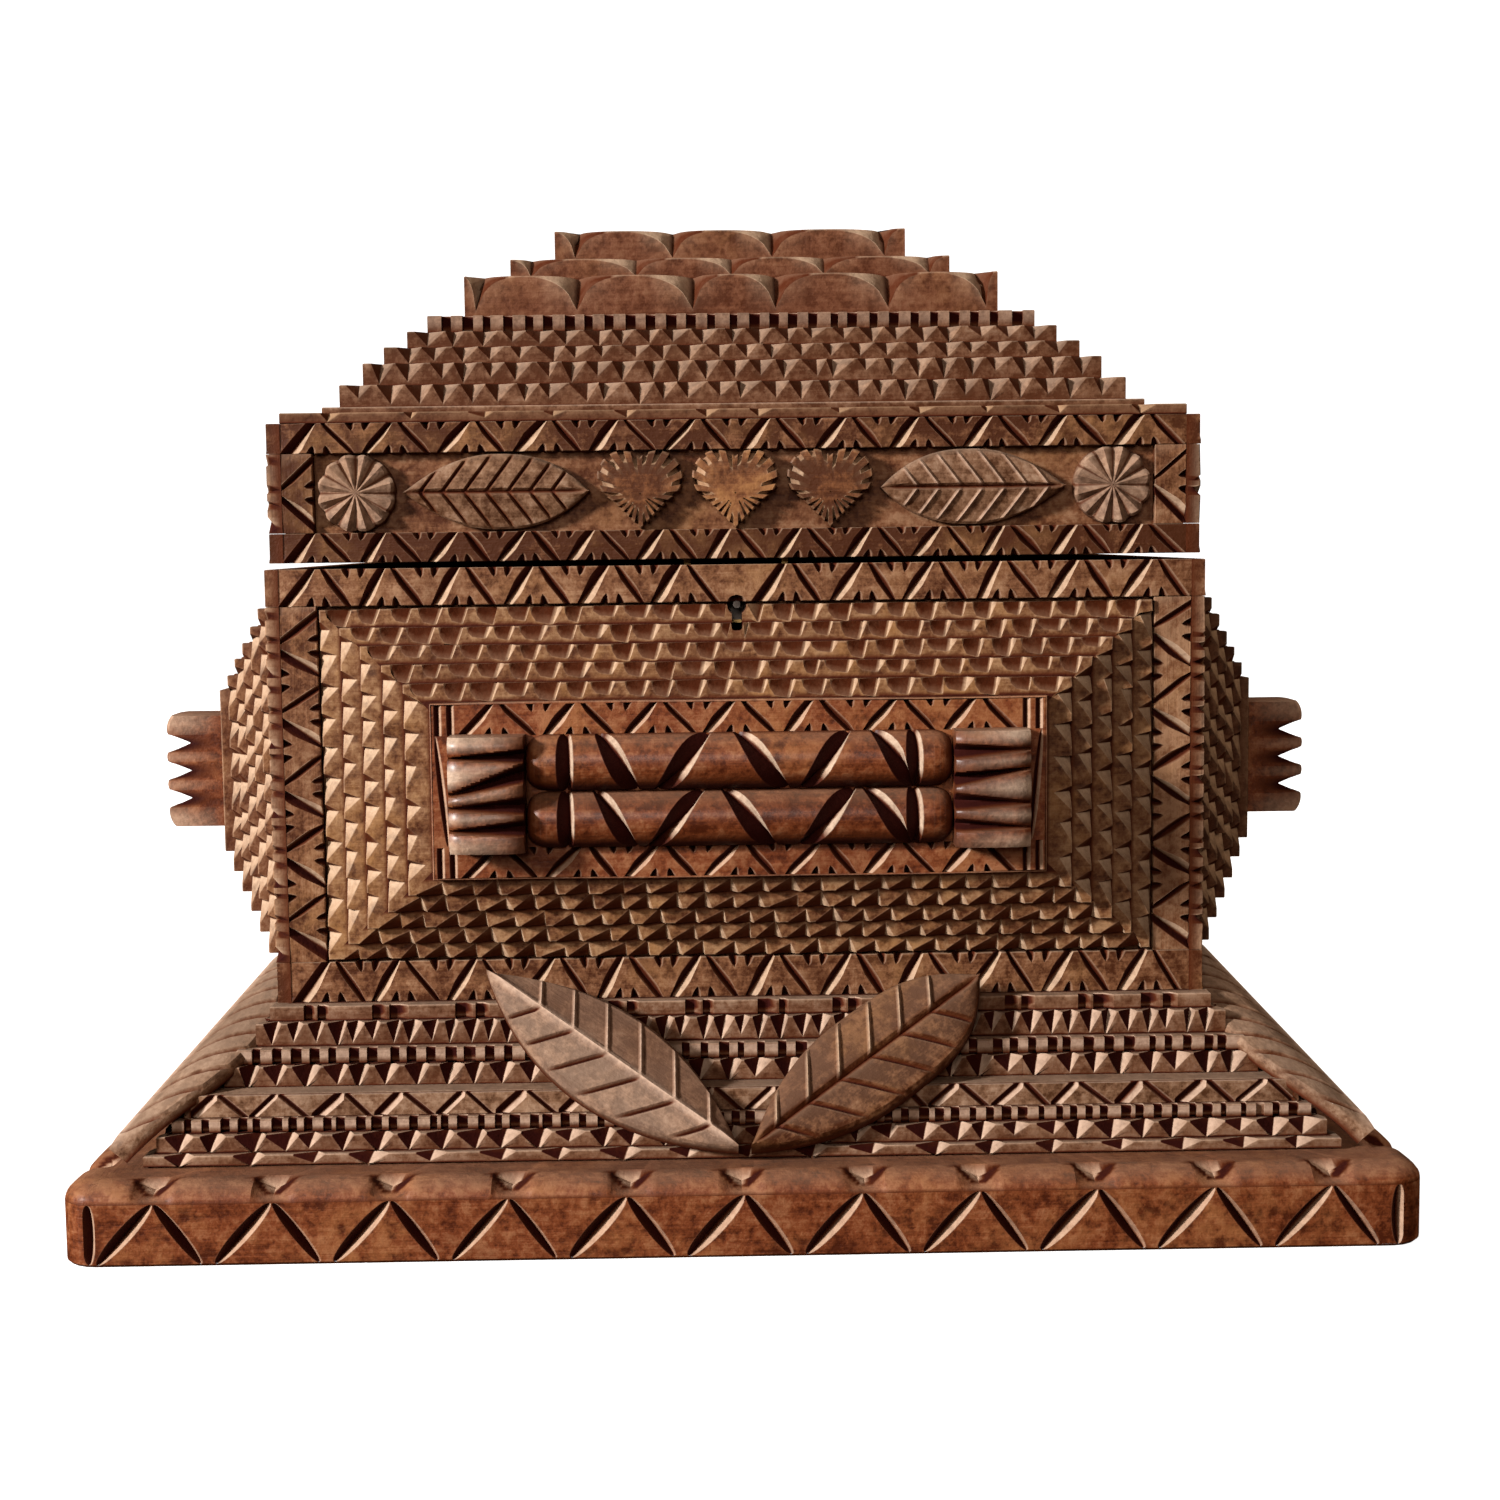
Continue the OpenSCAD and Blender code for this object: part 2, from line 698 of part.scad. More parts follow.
module plaque(side, w) {
  stand_on(side, face_dist(side) + panel_out(side) + glue, panel_z)
    board(w, plaque_h, plaque_t - glue);
}

module side_panel(side) {
  color(mid_brown) {
    stepped_panel(side, side_panel_w);
    plaque(side, side_plaque_w);
  }
}

module left_panel() { side_panel(left); }
module right_panel() { side_panel(right); }

module back_panel() {
  color(dark_brown) {
    stand_on(back, carcass_d / 2, z_body)
      frame_strips(body_w, body_h, rail_top_h, rail_bottom_h, stile_w);
    stepped_panel(back, front_panel_w);
  }
}

module front_plaque() {
  color(red_brown)
    stand_on(front, face_dist(front) + panel_out(front), panel_z)
      board(front_plaque_w, plaque_h, plaque_t);
}

// Handles

// End block with wedge grooves, drawn as its upright section and carried across its width
module end_block(count, out) {
  pitch = block_h / count;
  ridges = [for (i = [0:count - 1]) for (q = [[0, 0], [0.5, 1]])
    [-block_h / 2 + (i + q[0]) * pitch, out - (1 - q[1]) * ridge_depth]];
  section = concat([[-block_h / 2, 0]], ridges, [[block_h / 2, out - ridge_depth], [block_h / 2, 0]]);
  translate([-block_w / 2, 0, 0])
    rotate([90, 0, 90])
      linear_extrude(block_w)
        polygon(section);
}

// Half-round bar with slanting gouges
module handle_bar(length, gouges) {
  pitch = length / (gouges + 1);
  difference() {
    intersection() {
      translate([-length / 2, 0, 0])
        rotate([0, 90, 0])
          cylinder(r = bar_r, h = length);
      translate([0, 0, bar_r / 2])
        cube([2 * length, 2 * bar_r, bar_r], center = true);
    }
    for (i = [0:gouges - 1])
      translate([(i - (gouges - 1) / 2) * pitch, 0, bar_r + eps])
        rotate([0, 0, (i % 2 == 0 ? -1 : 1) * bar_gouge_lean])
          v_cut(4 * bar_r, 2 * bar_gouge, bar_gouge + eps);
  }
}

module handle_blocks(length, ridges, out) {
  for (hand = [-1, 1])
    translate([hand * (length - block_w) / 2, 0, 0])
      end_block(ridges, out);
}

module handle_bars(length, gouges) {
  bar_len = length - 2 * block_w - 2 * glue;
  for (hand = [-1, 1])
    translate([0, hand * (bar_r + glue), 0])
      handle_bar(bar_len, gouges);
}

// Seat of a handle on the plaque of one side
module on_plaque(side) {
  stand_on(side, face_dist(side) + panel_out(side) + plaque_t, panel_z)
    children();
}

module front_handle_blocks() {
  color(red_brown) on_plaque(front) handle_blocks(handle_front_len, block_ridges, block_out);
}

module front_handle_bars() {
  color(red_brown) on_plaque(front) handle_bars(handle_front_len, bar_gouges);
}

module side_handle(side) {
  color(red_brown)
    on_plaque(side) {
      handle_blocks(handle_side_len, side_block_ridges, side_block_out);
      handle_bars(handle_side_len, side_bar_gouges);
    }
}

module left_handle() { side_handle(left); }
module right_handle() { side_handle(right); }

// Lock

// Places that the two staples take in the top of the lock
module at_staples() {
  for (hand = [-1, 1])
    translate([hand * staple_x, lock_y, 0])
      children();
}

module lock_case() {
  inner_w = lock_w - 2 * lock_sheet;
  shelf_z = z_case - bolt_bar_top - bolt_bar_h - bolt_fit - lock_sheet;
  color(iron) {
    difference() {
      translate([0, lock_y, z_case - lock_h])
        board(lock_w, lock_d, lock_h);
      translate([0, lock_y - lock_sheet, z_case - lock_h + lock_sheet])
        board(inner_w, lock_d, lock_h - 2 * lock_sheet);
      at_staples()
        translate([0, 0, z_case - 2 * lock_sheet])
          board(staple_t + 4 * bolt_fit, staple_d + 3 * bolt_fit, 3 * lock_sheet);
    }
    translate([0, lock_y, shelf_z])
      board(lock_w - lock_sheet, lock_d, lock_sheet);
    translate([0, lock_y + lock_d / 2 - lock_sheet / 2, key_z])
      rotate([90, 0, 0])
        cylinder(d = drill_pin_d, h = lock_d - lock_sheet / 2 + frame_t);
  }
}

module lock_bolt() {
  bar_z = z_case - bolt_bar_top - bolt_bar_h;
  prong_x = -staple_t / 2 - prong_room - prong_len;
  color(brass) {
    translate([-staple_x + prong_x, lock_y - bolt_bar_d / 2, bar_z])
      cube([2 * staple_x + post_w, bolt_bar_d, bolt_bar_h]);
    for (hand = [-1, 1])
      translate([hand * staple_x + prong_x, lock_y - prong_d / 2, 0]) {
        translate([0, 0, bar_z])
          cube([post_w, prong_d, eye_z + prong_h / 2 - bar_z]);
        translate([0, 0, eye_z - prong_h / 2])
          cube([prong_len, prong_d, prong_h]);
      }
  }
}

module link_plate() {
  color(brass)
    difference() {
      union() {
        translate([0, lock_y, z_lid])
          board(link_w, link_d, link_t);
        at_staples()
          translate([0, 0, staple_foot])
            board(staple_t, staple_d, z_lid + link_t / 2 - staple_foot);
      }
      at_staples()
        translate([0, 0, eye_z - eye_h / 2])
          board(2 * staple_t, prong_d + 2 * bolt_fit, eye_h);
    }
}

// Hinges

// One knuckle of a hinge, from the middle of the hinge along its line
module knuckle(x, length) {
  translate([x - length / 2, hinge_y, hinge_z])
    rotate([0, 90, 0])
      difference() {
        cylinder(r = knuckle_r, h = length);
        translate([0, 0, -eps])
          cylinder(d = hinge_pin_d + 2 * pin_fit, h = length + 2 * eps);
      }
}

// Room that a leaf leaves for the knuckles of the other leaf
module knuckle_room(x, length) {
  translate([x - length / 2 - knuckle_gap, body_d / 2 - eps, hinge_z - knuckle_r - knuckle_gap])
    cube([length + 2 * knuckle_gap, 2 * knuckle_r + 2 * eps, 2 * knuckle_r + 2 * knuckle_gap]);
}

// The pin's hole through a leaf, for the leaf's edge under its knuckles
module pin_hole() {
  translate([-hinge_w, hinge_y, hinge_z])
    rotate([0, 90, 0])
      cylinder(d = hinge_pin_d + 2 * pin_fit, h = 2 * hinge_w);
}

module hinge_leaf(foot_z, height) {
  translate([-hinge_w / 2, body_d / 2, foot_z])
    cube([hinge_w, hinge_leaf_t, height]);
}

module hinge_leaves_case() {
  outer_x = knuckle_len + knuckle_gap;
  color(brass)
    for (hand = [-1, 1])
      translate([hand * hinge_x, 0, 0]) {
        difference() {
          hinge_leaf(z_case - hinge_leaf_h, hinge_z - knuckle_gap / 2 - z_case + hinge_leaf_h);
          knuckle_room(0, knuckle_len);
          pin_hole();
        }
        for (x = [-outer_x, outer_x])
          knuckle(x, knuckle_len);
      }
}

module hinge_leaves_lid() {
  outer_x = knuckle_len + knuckle_gap;
  color(brass)
    for (hand = [-1, 1])
      translate([hand * hinge_x, 0, 0]) {
        difference() {
          hinge_leaf(hinge_z + knuckle_gap / 2, z_lid + hinge_leaf_h - hinge_z - knuckle_gap / 2);
          for (x = [-outer_x, outer_x])
            knuckle_room(x, knuckle_len);
          pin_hole();
        }
        knuckle(0, knuckle_len);
      }
}

module hinge_pins() {
  color(iron)
    for (hand = [-1, 1])
      translate([hand * hinge_x - hinge_w / 2, hinge_y, hinge_z])
        rotate([0, 90, 0])
          cylinder(d = hinge_pin_d, h = hinge_w);
}

// Lid

module lid_front() {
  color(golden)
    difference() {
      translate([0, -carcass_d / 2 + wall_t / 2, z_lid])
        board(lid_w, wall_t, lid_wall_h);
      translate([0, lock_y, z_lid - eps])
        board(link_w + 2 * lock_fit, link_d + 2 * lock_fit, link_t + eps);
    }
}

module lid_back() {
  color(dark_brown)
    translate([0, carcass_d / 2 - wall_t / 2, z_lid])
      board(lid_w, wall_t, lid_wall_h);
}

module lid_end(hand) {
  color(dark_brown)
    translate([hand * (lid_w - wall_t) / 2, 0, z_lid])
      board(wall_t, carcass_d - 2 * wall_t, lid_wall_h);
}

module lid_left() { lid_end(-1); }
module lid_right() { lid_end(1); }

module lid_top() {
  color(dusty_tan)
    translate([0, 0, z_lid_top - lid_top_t])
      board(lid_w, body_d, lid_top_t);
}

module lid_frame(side, w, dist) {
  color(mid_brown)
    stand_on(side, dist, z_lid)
      frame_strips(w, lid_wall_h, lid_rail_top_h, lid_rail_bottom_h, lid_stile_w);
}

module lid_frame_front() { lid_frame(front, lid_w, carcass_d / 2); }
module lid_frame_back() { lid_frame(back, lid_w, carcass_d / 2); }
module lid_frame_left() { lid_frame(left, body_d, lid_w / 2); }
module lid_frame_right() { lid_frame(right, body_d, lid_w / 2); }

module lid_layer(k) {
  color(k % 2 == 0 ? dusty_tan : mid_brown)
    translate([0, 0, lid_foot(k)])
      if (k == 0)
        board(lid_w - 2 * lid_in(k), body_d - 2 * lid_in(k), lid_thick(k));
      else
        notched_board(lid_w - 2 * lid_in(k), body_d - 2 * lid_in(k), lid_thick(k));
}

module lid_layer_1() { lid_layer(0); }
module lid_layer_2() { lid_layer(1); }
module lid_layer_3() { lid_layer(2); }
module lid_layer_4() { lid_layer(3); }
module lid_layer_5() { lid_layer(4); }
module lid_layer_6() { lid_layer(5); }

// Gouges across the upper edge of one side of a crown board, which leave scallops between them
module scallop_gouges(length, half, t) {
  n = max(1, round(length / scallop_pitch));
  p = length / n;
  for (i = [0:n])
    translate([-length / 2 + i * p, -half, t])
      rotate([45, 0, 0])
        rotate([0, 0, 90])
          translate([0, 0, scallop_depth])
            v_cut(4 * t, 4 * scallop_depth, 2 * scallop_depth);
}

module crown(k) {
  inset = crown_in + k * crown_step;
  w = lid_w - 2 * inset;
  d = body_d - 2 * inset;
  color(red_brown)
    translate([0, 0, crown_foot(k)])
      difference() {
        board(w, d, crown_t[k]);
        for (side = [front, back])
          rotate([0, 0, side]) scallop_gouges(w, d / 2, crown_t[k]);
        for (side = [right, left])
          rotate([0, 0, side]) scallop_gouges(d, w / 2, crown_t[k]);
      }
}

module crown_1() { crown(0); }
module crown_2() { crown(1); }
module crown_3() { crown(2); }

// Ornaments on the lid's front

band_h = lid_wall_h - lid_rail_top_h - lid_rail_bottom_h;
band_z = z_lid + lid_rail_bottom_h + band_h / 2;
band_clear = band_h - 2 * band_edge;
// Rosettes fill the band, one beside each upright
rosette_d = band_clear;
rosette_x = lid_w / 2 - lid_stile_w - band_gap - rosette_d / 2;
// Hearts fill the band from the tip of the square to the tops of the lobes
lobe_x = sqrt(2) / 4;
heart_s = band_clear / (3 * lobe_x + heart_lobe);
heart_drop = heart_s * (heart_lobe - lobe_x) / 2;
heart_half = heart_s * (lobe_x + heart_lobe);
heart_pitch = 2 * heart_half + heart_gap;
// Leaves fill the room between hearts and rosettes
leaf_from = heart_pitch + heart_half + band_gap;
leaf_to = rosette_x - rosette_d / 2 - band_gap;
band_leaf_len = leaf_to - leaf_from;
band_leaf_w = band_clear * band_leaf_share;

module hearts() {
  color(golden)
    stand_on(front, carcass_d / 2, band_z)
      for (i = [-1, 0, 1])
        translate([i * heart_pitch, -heart_drop, 0])
          heart(heart_s, ornament_t);
}

module rosette() {
  difference() {
    cylinder(d = rosette_d, h = ornament_t);
    for (i = [0:rosette_petals - 1])
      rotate([0, 0, i * 360 / rosette_petals])
        translate([rosette_eye_d / 2 + rosette_d / 2, 0, ornament_t + eps])
          v_cut(rosette_d, 2 * rosette_groove, rosette_groove + eps);
  }
}

module band_leaves_rosettes() {
  color(dusty_tan)
    stand_on(front, carcass_d / 2, band_z)
      for (hand = [-1, 1]) {
        translate([hand * (leaf_from + leaf_to) / 2, 0, 0])
          leaf(band_leaf_len, band_leaf_w, ornament_t, leaf_crown);
        translate([hand * rosette_x, 0, 0])
          rosette();
      }
}

plinth();
step_1();
step_2();
step_3();
step_4();
step_5();
step_6();
step_7();
step_8();
leaf_front_left();
leaf_front_right();
leaves_left();
leaves_right();
case_floor();
case_front();
case_back();
case_left();
case_right();
front_frame();
left_frame();
right_frame();
back_panel();
left_panel();
right_panel();
front_layer_1();
front_layer_2();
front_layer_3();
front_layer_4();
front_layer_5();
front_plaque();
front_handle_blocks();
front_handle_bars();
left_handle();
right_handle();
lock_case();
lock_bolt();
link_plate();
hinge_leaves_case();
hinge_leaves_lid();
hinge_pins();
lid_front();
lid_back();
lid_left();
lid_right();
lid_top();
lid_frame_front();
lid_frame_back();
lid_frame_left();
lid_frame_right();
lid_layer_1();
lid_layer_2();
lid_layer_3();
lid_layer_4();
lid_layer_5();
lid_layer_6();
crown_1();
crown_2();
crown_3();
hearts();
band_leaves_rosettes();
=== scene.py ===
import json
import math
import bpy
import numpy as np
from mathutils import Matrix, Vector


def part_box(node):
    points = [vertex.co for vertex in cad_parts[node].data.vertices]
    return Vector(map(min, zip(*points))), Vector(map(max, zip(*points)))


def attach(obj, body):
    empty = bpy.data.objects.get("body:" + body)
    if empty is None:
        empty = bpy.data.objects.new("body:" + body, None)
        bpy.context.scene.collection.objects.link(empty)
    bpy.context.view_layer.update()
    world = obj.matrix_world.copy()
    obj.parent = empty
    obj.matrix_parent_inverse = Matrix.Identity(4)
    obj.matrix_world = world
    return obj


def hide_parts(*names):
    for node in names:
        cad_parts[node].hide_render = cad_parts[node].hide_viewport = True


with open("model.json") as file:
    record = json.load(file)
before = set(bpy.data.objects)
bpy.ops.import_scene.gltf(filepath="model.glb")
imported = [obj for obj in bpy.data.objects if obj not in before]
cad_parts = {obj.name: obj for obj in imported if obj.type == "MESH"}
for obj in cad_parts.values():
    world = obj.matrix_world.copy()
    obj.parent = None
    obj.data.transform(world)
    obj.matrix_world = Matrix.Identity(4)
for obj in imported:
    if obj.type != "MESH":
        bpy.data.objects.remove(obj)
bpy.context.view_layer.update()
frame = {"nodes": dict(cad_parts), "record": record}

front, right, back, left = 0, 90, 180, 270  # sides, as turns about z in degrees
rng = np.random.default_rng(41)


# Limits values to the range from 0 to 1
def unit(v):
    return np.clip(v, 0, 1)


def cosSin(degrees):
    return math.cos(math.radians(degrees)), math.sin(math.radians(degrees))


# Adds a mesh, a light or the camera to the scene; lights and the camera also have axes x, y, z and a spot
def putObject(name, data, axes=None, spot=None):
    obj = bpy.data.objects.new(name, data)
    if axes:
        obj.matrix_world = Matrix([(*(a[k] for a in axes), spot[k]) for k in range(3)] + [(0, 0, 0, 1)])
    bpy.context.scene.collection.objects.link(obj)
    return obj


# Links a socket to a node's input, or sets the input to a plain value
def fill(spot, value):
    if isinstance(value, Sock):
        spot.id_data.links.new(value.out, spot)
    else:
        spot.default_value = value


class Sock:
    # a node socket that takes part in sums and products; node() makes any other node
    def __init__(self, tree, out):
        self.tree, self.out = tree, out

    def node(self, kind, output=0, **inputs):
        n = self.tree.nodes.new(kind)
        for key, value in inputs.items():
            if hasattr(n, key):
                setattr(n, key, value)
                continue
            fill(n.inputs[int(key[1:]) if key[0] == "i" and key[1:].isdigit() else key], value)
        return Sock(self.tree, n.outputs[output])

    def math(self, operation, a, b=0.0, clamp=False):
        return self.node("ShaderNodeMath", operation=operation, use_clamp=clamp, i0=a, i1=b)

    def __add__(self, b):
        return self.math("ADD", self, b)

    def __radd__(self, b):
        return self.math("ADD", b, self)

    def __sub__(self, b):
        return self.math("SUBTRACT", self, b)

    def __rsub__(self, b):
        return self.math("SUBTRACT", b, self)

    def __mul__(self, b):
        return self.math("MULTIPLY", self, b)

    def __rmul__(self, b):
        return self.math("MULTIPLY", b, self)

    def clip(self):
        return self.math("ADD", self, 0.0, True)

    def mix(self, a, b):
        # colour a where this socket is 0, colour b where it is 1
        return self.node("ShaderNodeMix", 2, data_type="RGBA", clamp_factor=True, i0=self, i6=a, i7=b)

    def noise(self, scale, detail=4.0, rough=0.55, stretch=(1, 1, 1)):
        moved = self.node("ShaderNodeVectorMath", operation="MULTIPLY", i0=self, i1=stretch)
        return self.node("ShaderNodeTexNoise", 0, Vector=moved, Scale=scale, Detail=detail, Roughness=rough)

    def ramp(self, low, high):
        return self.node("ShaderNodeMapRange", 0, clamp=True, i0=self, i1=low, i2=high, i3=0.0, i4=1.0)


def newMaterial(name):
    mat = bpy.data.materials.new(name)
    mat.use_nodes = True
    return mat, mat.node_tree.nodes["Principled BSDF"], Sock(mat.node_tree, None)


def rgb(*c):
    return (*c, 1.0)


def feed(shader, name, value):
    fill(shader.inputs[name], value)


# the near black and umber: colours of dirt and of painted shade on walls and in grooves, slots and creases
blackShadeAndGrime = rgb(0.024, 0.0015, 0.0002)
umber = rgb(0.070, 0.0140, 0.0022)


# Wood: streaks along the grain, blotches and patina from object coordinates. A carved piece says where it
# is pale (bare wood and painted highlight), dark (dirt and painted shade) or faces up, and its tone, in the
# marks attribute, and has its grain in the wood attribute. Plain boards have even marks and take their grain
# from object coordinates.
def woodMaterial(name, look, carved=True):
    mat, shader, s = newMaterial(name)
    place = s.node("ShaderNodeTexCoord", 3)
    if carved:
        marks = s.node("ShaderNodeAttribute", 0, attribute_name="marks")
        split = s.node("ShaderNodeSeparateColor", 0, Color=marks)
        cut, dirtAndShade, up = (Sock(s.tree, split.out.node.outputs[k]) for k in range(3))
        tone = Sock(s.tree, marks.out.node.outputs["Alpha"])
        grain = s.node("ShaderNodeAttribute", 1, attribute_name="wood")
    else:
        cut, dirtAndShade, up, tone = (s.math("ADD", v, 0.0) for v in (0.0, 0.1, 0.2, 0.5))
        grain = place
    streak = grain.noise(1.0, 6.0, 0.62, (18.0, 420.0, 420.0))
    fine = grain.noise(1.0, 3.0, 0.7, (60.0, 1900.0, 1900.0))
    broad = grain.noise(1.0, 3.0, 0.5, (7.0, 60.0, 60.0))
    patina = place.noise(34.0, 5.0, 0.6)
    blotch = place.noise(90.0, 4.0, 0.65)
    mottle = place.noise(230.0, 4.0, 0.7)
    speck = place.noise(620.0, 3.0, 0.7)
    grainy = streak.ramp(0.3, 0.7) * 0.3 + fine.ramp(0.3, 0.7) * 0.2 + broad.ramp(0.3, 0.7) * 0.2
    spots = blotch.ramp(0.34, 0.66) * 0.36 + mottle.ramp(0.38, 0.62) * 0.46 + speck.ramp(0.38, 0.62) * 0.34
    value = (grainy + spots + tone * 0.8 - 0.86).clip()
    colour = value.ramp(0.08, 0.5).mix(look["deep"], look["mid"])
    colour = value.ramp(0.5, 0.95).mix(colour, look["light"])
    wearAndShade = (patina.ramp(0.5, 0.36) * mottle.ramp(0.35, 0.6) * look["wear"]).clip()
    colour = wearAndShade.mix(colour, look["gold"])
    grey = ((up.ramp(0.3, 0.95) * look["dust"]) * (patina.ramp(0.3, 0.62) * 0.7 + 0.45)).clip()
    colour = grey.mix(colour, look["dusty"])
    stains = (patina.ramp(0.52, 0.74) * look["stain"]).clip()
    colour = stains.mix(colour, look["deep"])
    # the pale mark is bare cut wood and a painted highlight on lit walls and ridges
    pale = (cut * (0.6 + speck.ramp(0.3, 0.7) * 0.55)).clip()
    colour = pale.mix(colour, look["cut"])
    # the dark mark is dirt and painted shade: umber first, near black in the deepest creases
    soilAndShade = (dirtAndShade * (0.8 + mottle * 0.4)).clip()
    colour = soilAndShade.ramp(0.0, 0.62).mix(colour, umber)
    colour = soilAndShade.ramp(0.55, 0.95).mix(colour, blackShadeAndGrime)
    feed(shader, "Base Color", colour)
    rough = look["rough"] + 0.35 * grey + 0.2 * (streak - 0.5) + 0.12 * pale + 0.3 * soilAndShade
    feed(shader, "Roughness", rough.clip())
    relief = streak * 0.5 + fine * 0.3 + speck * 0.5 + mottle * 0.7 + blotch * 0.5
    feed(shader, "Normal", s.node("ShaderNodeBump", 0, Strength=0.5, Distance=0.0007, Height=relief))
    if look["coat"]:
        feed(shader, "Coat Weight", (1.0 - soilAndShade) * (1.0 - grey) * look["coat"])
    feed(shader, "Coat Roughness", 0.32)
    feed(shader, "Specular IOR Level", 0.12)
    return mat


def metalMaterial(name, dark, bright, rough):
    mat, shader, s = newMaterial(name)
    place = s.node("ShaderNodeTexCoord", 3)
    tarnish = place.noise(160.0, 5.0, 0.6)
    feed(shader, "Base Color", tarnish.ramp(0.35, 0.65).mix(dark, bright))
    feed(shader, "Roughness", (rough + 0.25 * (0.6 - tarnish)).clip())
    feed(shader, "Metallic", 1.0)
    return mat


woods = {
    "wood_red": {
        "deep": rgb(0.050, 0.009, 0.002), "mid": rgb(0.150, 0.037, 0.011), "light": rgb(0.25, 0.098, 0.042),
        "cut": rgb(0.42, 0.27, 0.18), "dusty": rgb(0.20, 0.12, 0.075), "gold": rgb(0.27, 0.105, 0.036),
        "wear": 0.6, "dust": 0.5, "rough": 0.46, "coat": 0.08, "stain": 0.6},
    "wood_brown": {
        "deep": rgb(0.052, 0.014, 0.004), "mid": rgb(0.160, 0.066, 0.029), "light": rgb(0.28, 0.150, 0.080),
        "cut": rgb(0.43, 0.29, 0.19), "dusty": rgb(0.22, 0.14, 0.09), "gold": rgb(0.26, 0.125, 0.048),
        "wear": 0.55, "dust": 0.5, "rough": 0.5, "coat": 0.0, "stain": 0.55},
    "wood_tan": {
        "deep": rgb(0.055, 0.019, 0.006), "mid": rgb(0.165, 0.082, 0.043), "light": rgb(0.29, 0.178, 0.112),
        "cut": rgb(0.44, 0.30, 0.215), "dusty": rgb(0.26, 0.18, 0.125), "gold": rgb(0.25, 0.135, 0.070),
        "wear": 0.4, "dust": 0.6, "rough": 0.6, "coat": 0.0, "stain": 0.5},
    "wood_gold": {
        "deep": rgb(0.060, 0.017, 0.005), "mid": rgb(0.160, 0.058, 0.021), "light": rgb(0.29, 0.128, 0.045),
        "cut": rgb(0.38, 0.25, 0.15), "dusty": rgb(0.22, 0.15, 0.10), "gold": rgb(0.30, 0.135, 0.048),
        "wear": 0.4, "dust": 0.35, "rough": 0.45, "coat": 0.05, "stain": 0.35},
    "wood_dark": {
        "deep": rgb(0.034, 0.012, 0.005), "mid": rgb(0.105, 0.046, 0.021), "light": rgb(0.18, 0.092, 0.048),
        "cut": rgb(0.30, 0.18, 0.10), "dusty": rgb(0.22, 0.15, 0.10), "gold": rgb(0.16, 0.080, 0.040),
        "wear": 0.3, "dust": 0.3, "rough": 0.6, "coat": 0.0, "stain": 0.4},
}
goldenPanel = dict(woods["wood_brown"], mid=rgb(0.162, 0.070, 0.029), light=rgb(0.29, 0.160, 0.078),
                   cut=rgb(0.44, 0.30, 0.195), gold=rgb(0.29, 0.138, 0.046), wear=0.7, dust=0.35)
# the handle's pale colour is brighter, for a painted highlight on its ridges
handleRed = dict(woods["wood_red"], cut=rgb(0.52, 0.38, 0.27), coat=0.35, rough=0.42)
crownRed = dict(woods["wood_brown"], mid=rgb(0.150, 0.056, 0.026), light=rgb(0.25, 0.118, 0.062), wear=0.3)
materials = {slot: woodMaterial(slot + "Carved", look) for slot, look in woods.items()}
materials["polished"] = woodMaterial("polishedHandle", handleRed)
materials["crown"] = woodMaterial("crownRed", crownRed)
materials["golden"] = woodMaterial("goldenPanel", goldenPanel)
plainWoods = {slot: woodMaterial(slot + "Plain", look, False) for slot, look in woods.items()}
materials["brass"] = metalMaterial("dullBrass", rgb(0.16, 0.10, 0.045), rgb(0.42, 0.28, 0.11), 0.42)
materials["iron"] = metalMaterial("darkIron", rgb(0.05, 0.04, 0.035), rgb(0.17, 0.15, 0.14), 0.5)
print("materials made")


# Box of a CAD node in millimetres
def boxOf(node):
    lo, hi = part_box(node)
    return np.array(lo) * 1000.0, np.array(hi) * 1000.0


# Local points are x along, y across and h out of a board's face, in millimetres.
def stand(side, out, z, x=0.0, turn=False):
    ca, sa = cosSin(side)

    def place(p):
        along, across = (-p[..., 1], p[..., 0]) if turn else (p[..., 0], p[..., 1])
        px, py = along + x, -(out + p[..., 2])
        return np.stack([px * ca - py * sa, px * sa + py * ca, across + z], -1)
    return place


def lie(z):
    return lambda p: p + np.array([0.0, 0.0, z])


# A number from 0 to 1 from a piece's name, so that each piece has its own stretch of grain
def nameShift(name, k):
    return (sum((i + 1 + k * 7) * ord(ch) for i, ch in enumerate(name)) * 0.6180339887 + k * 0.37) % 1.0


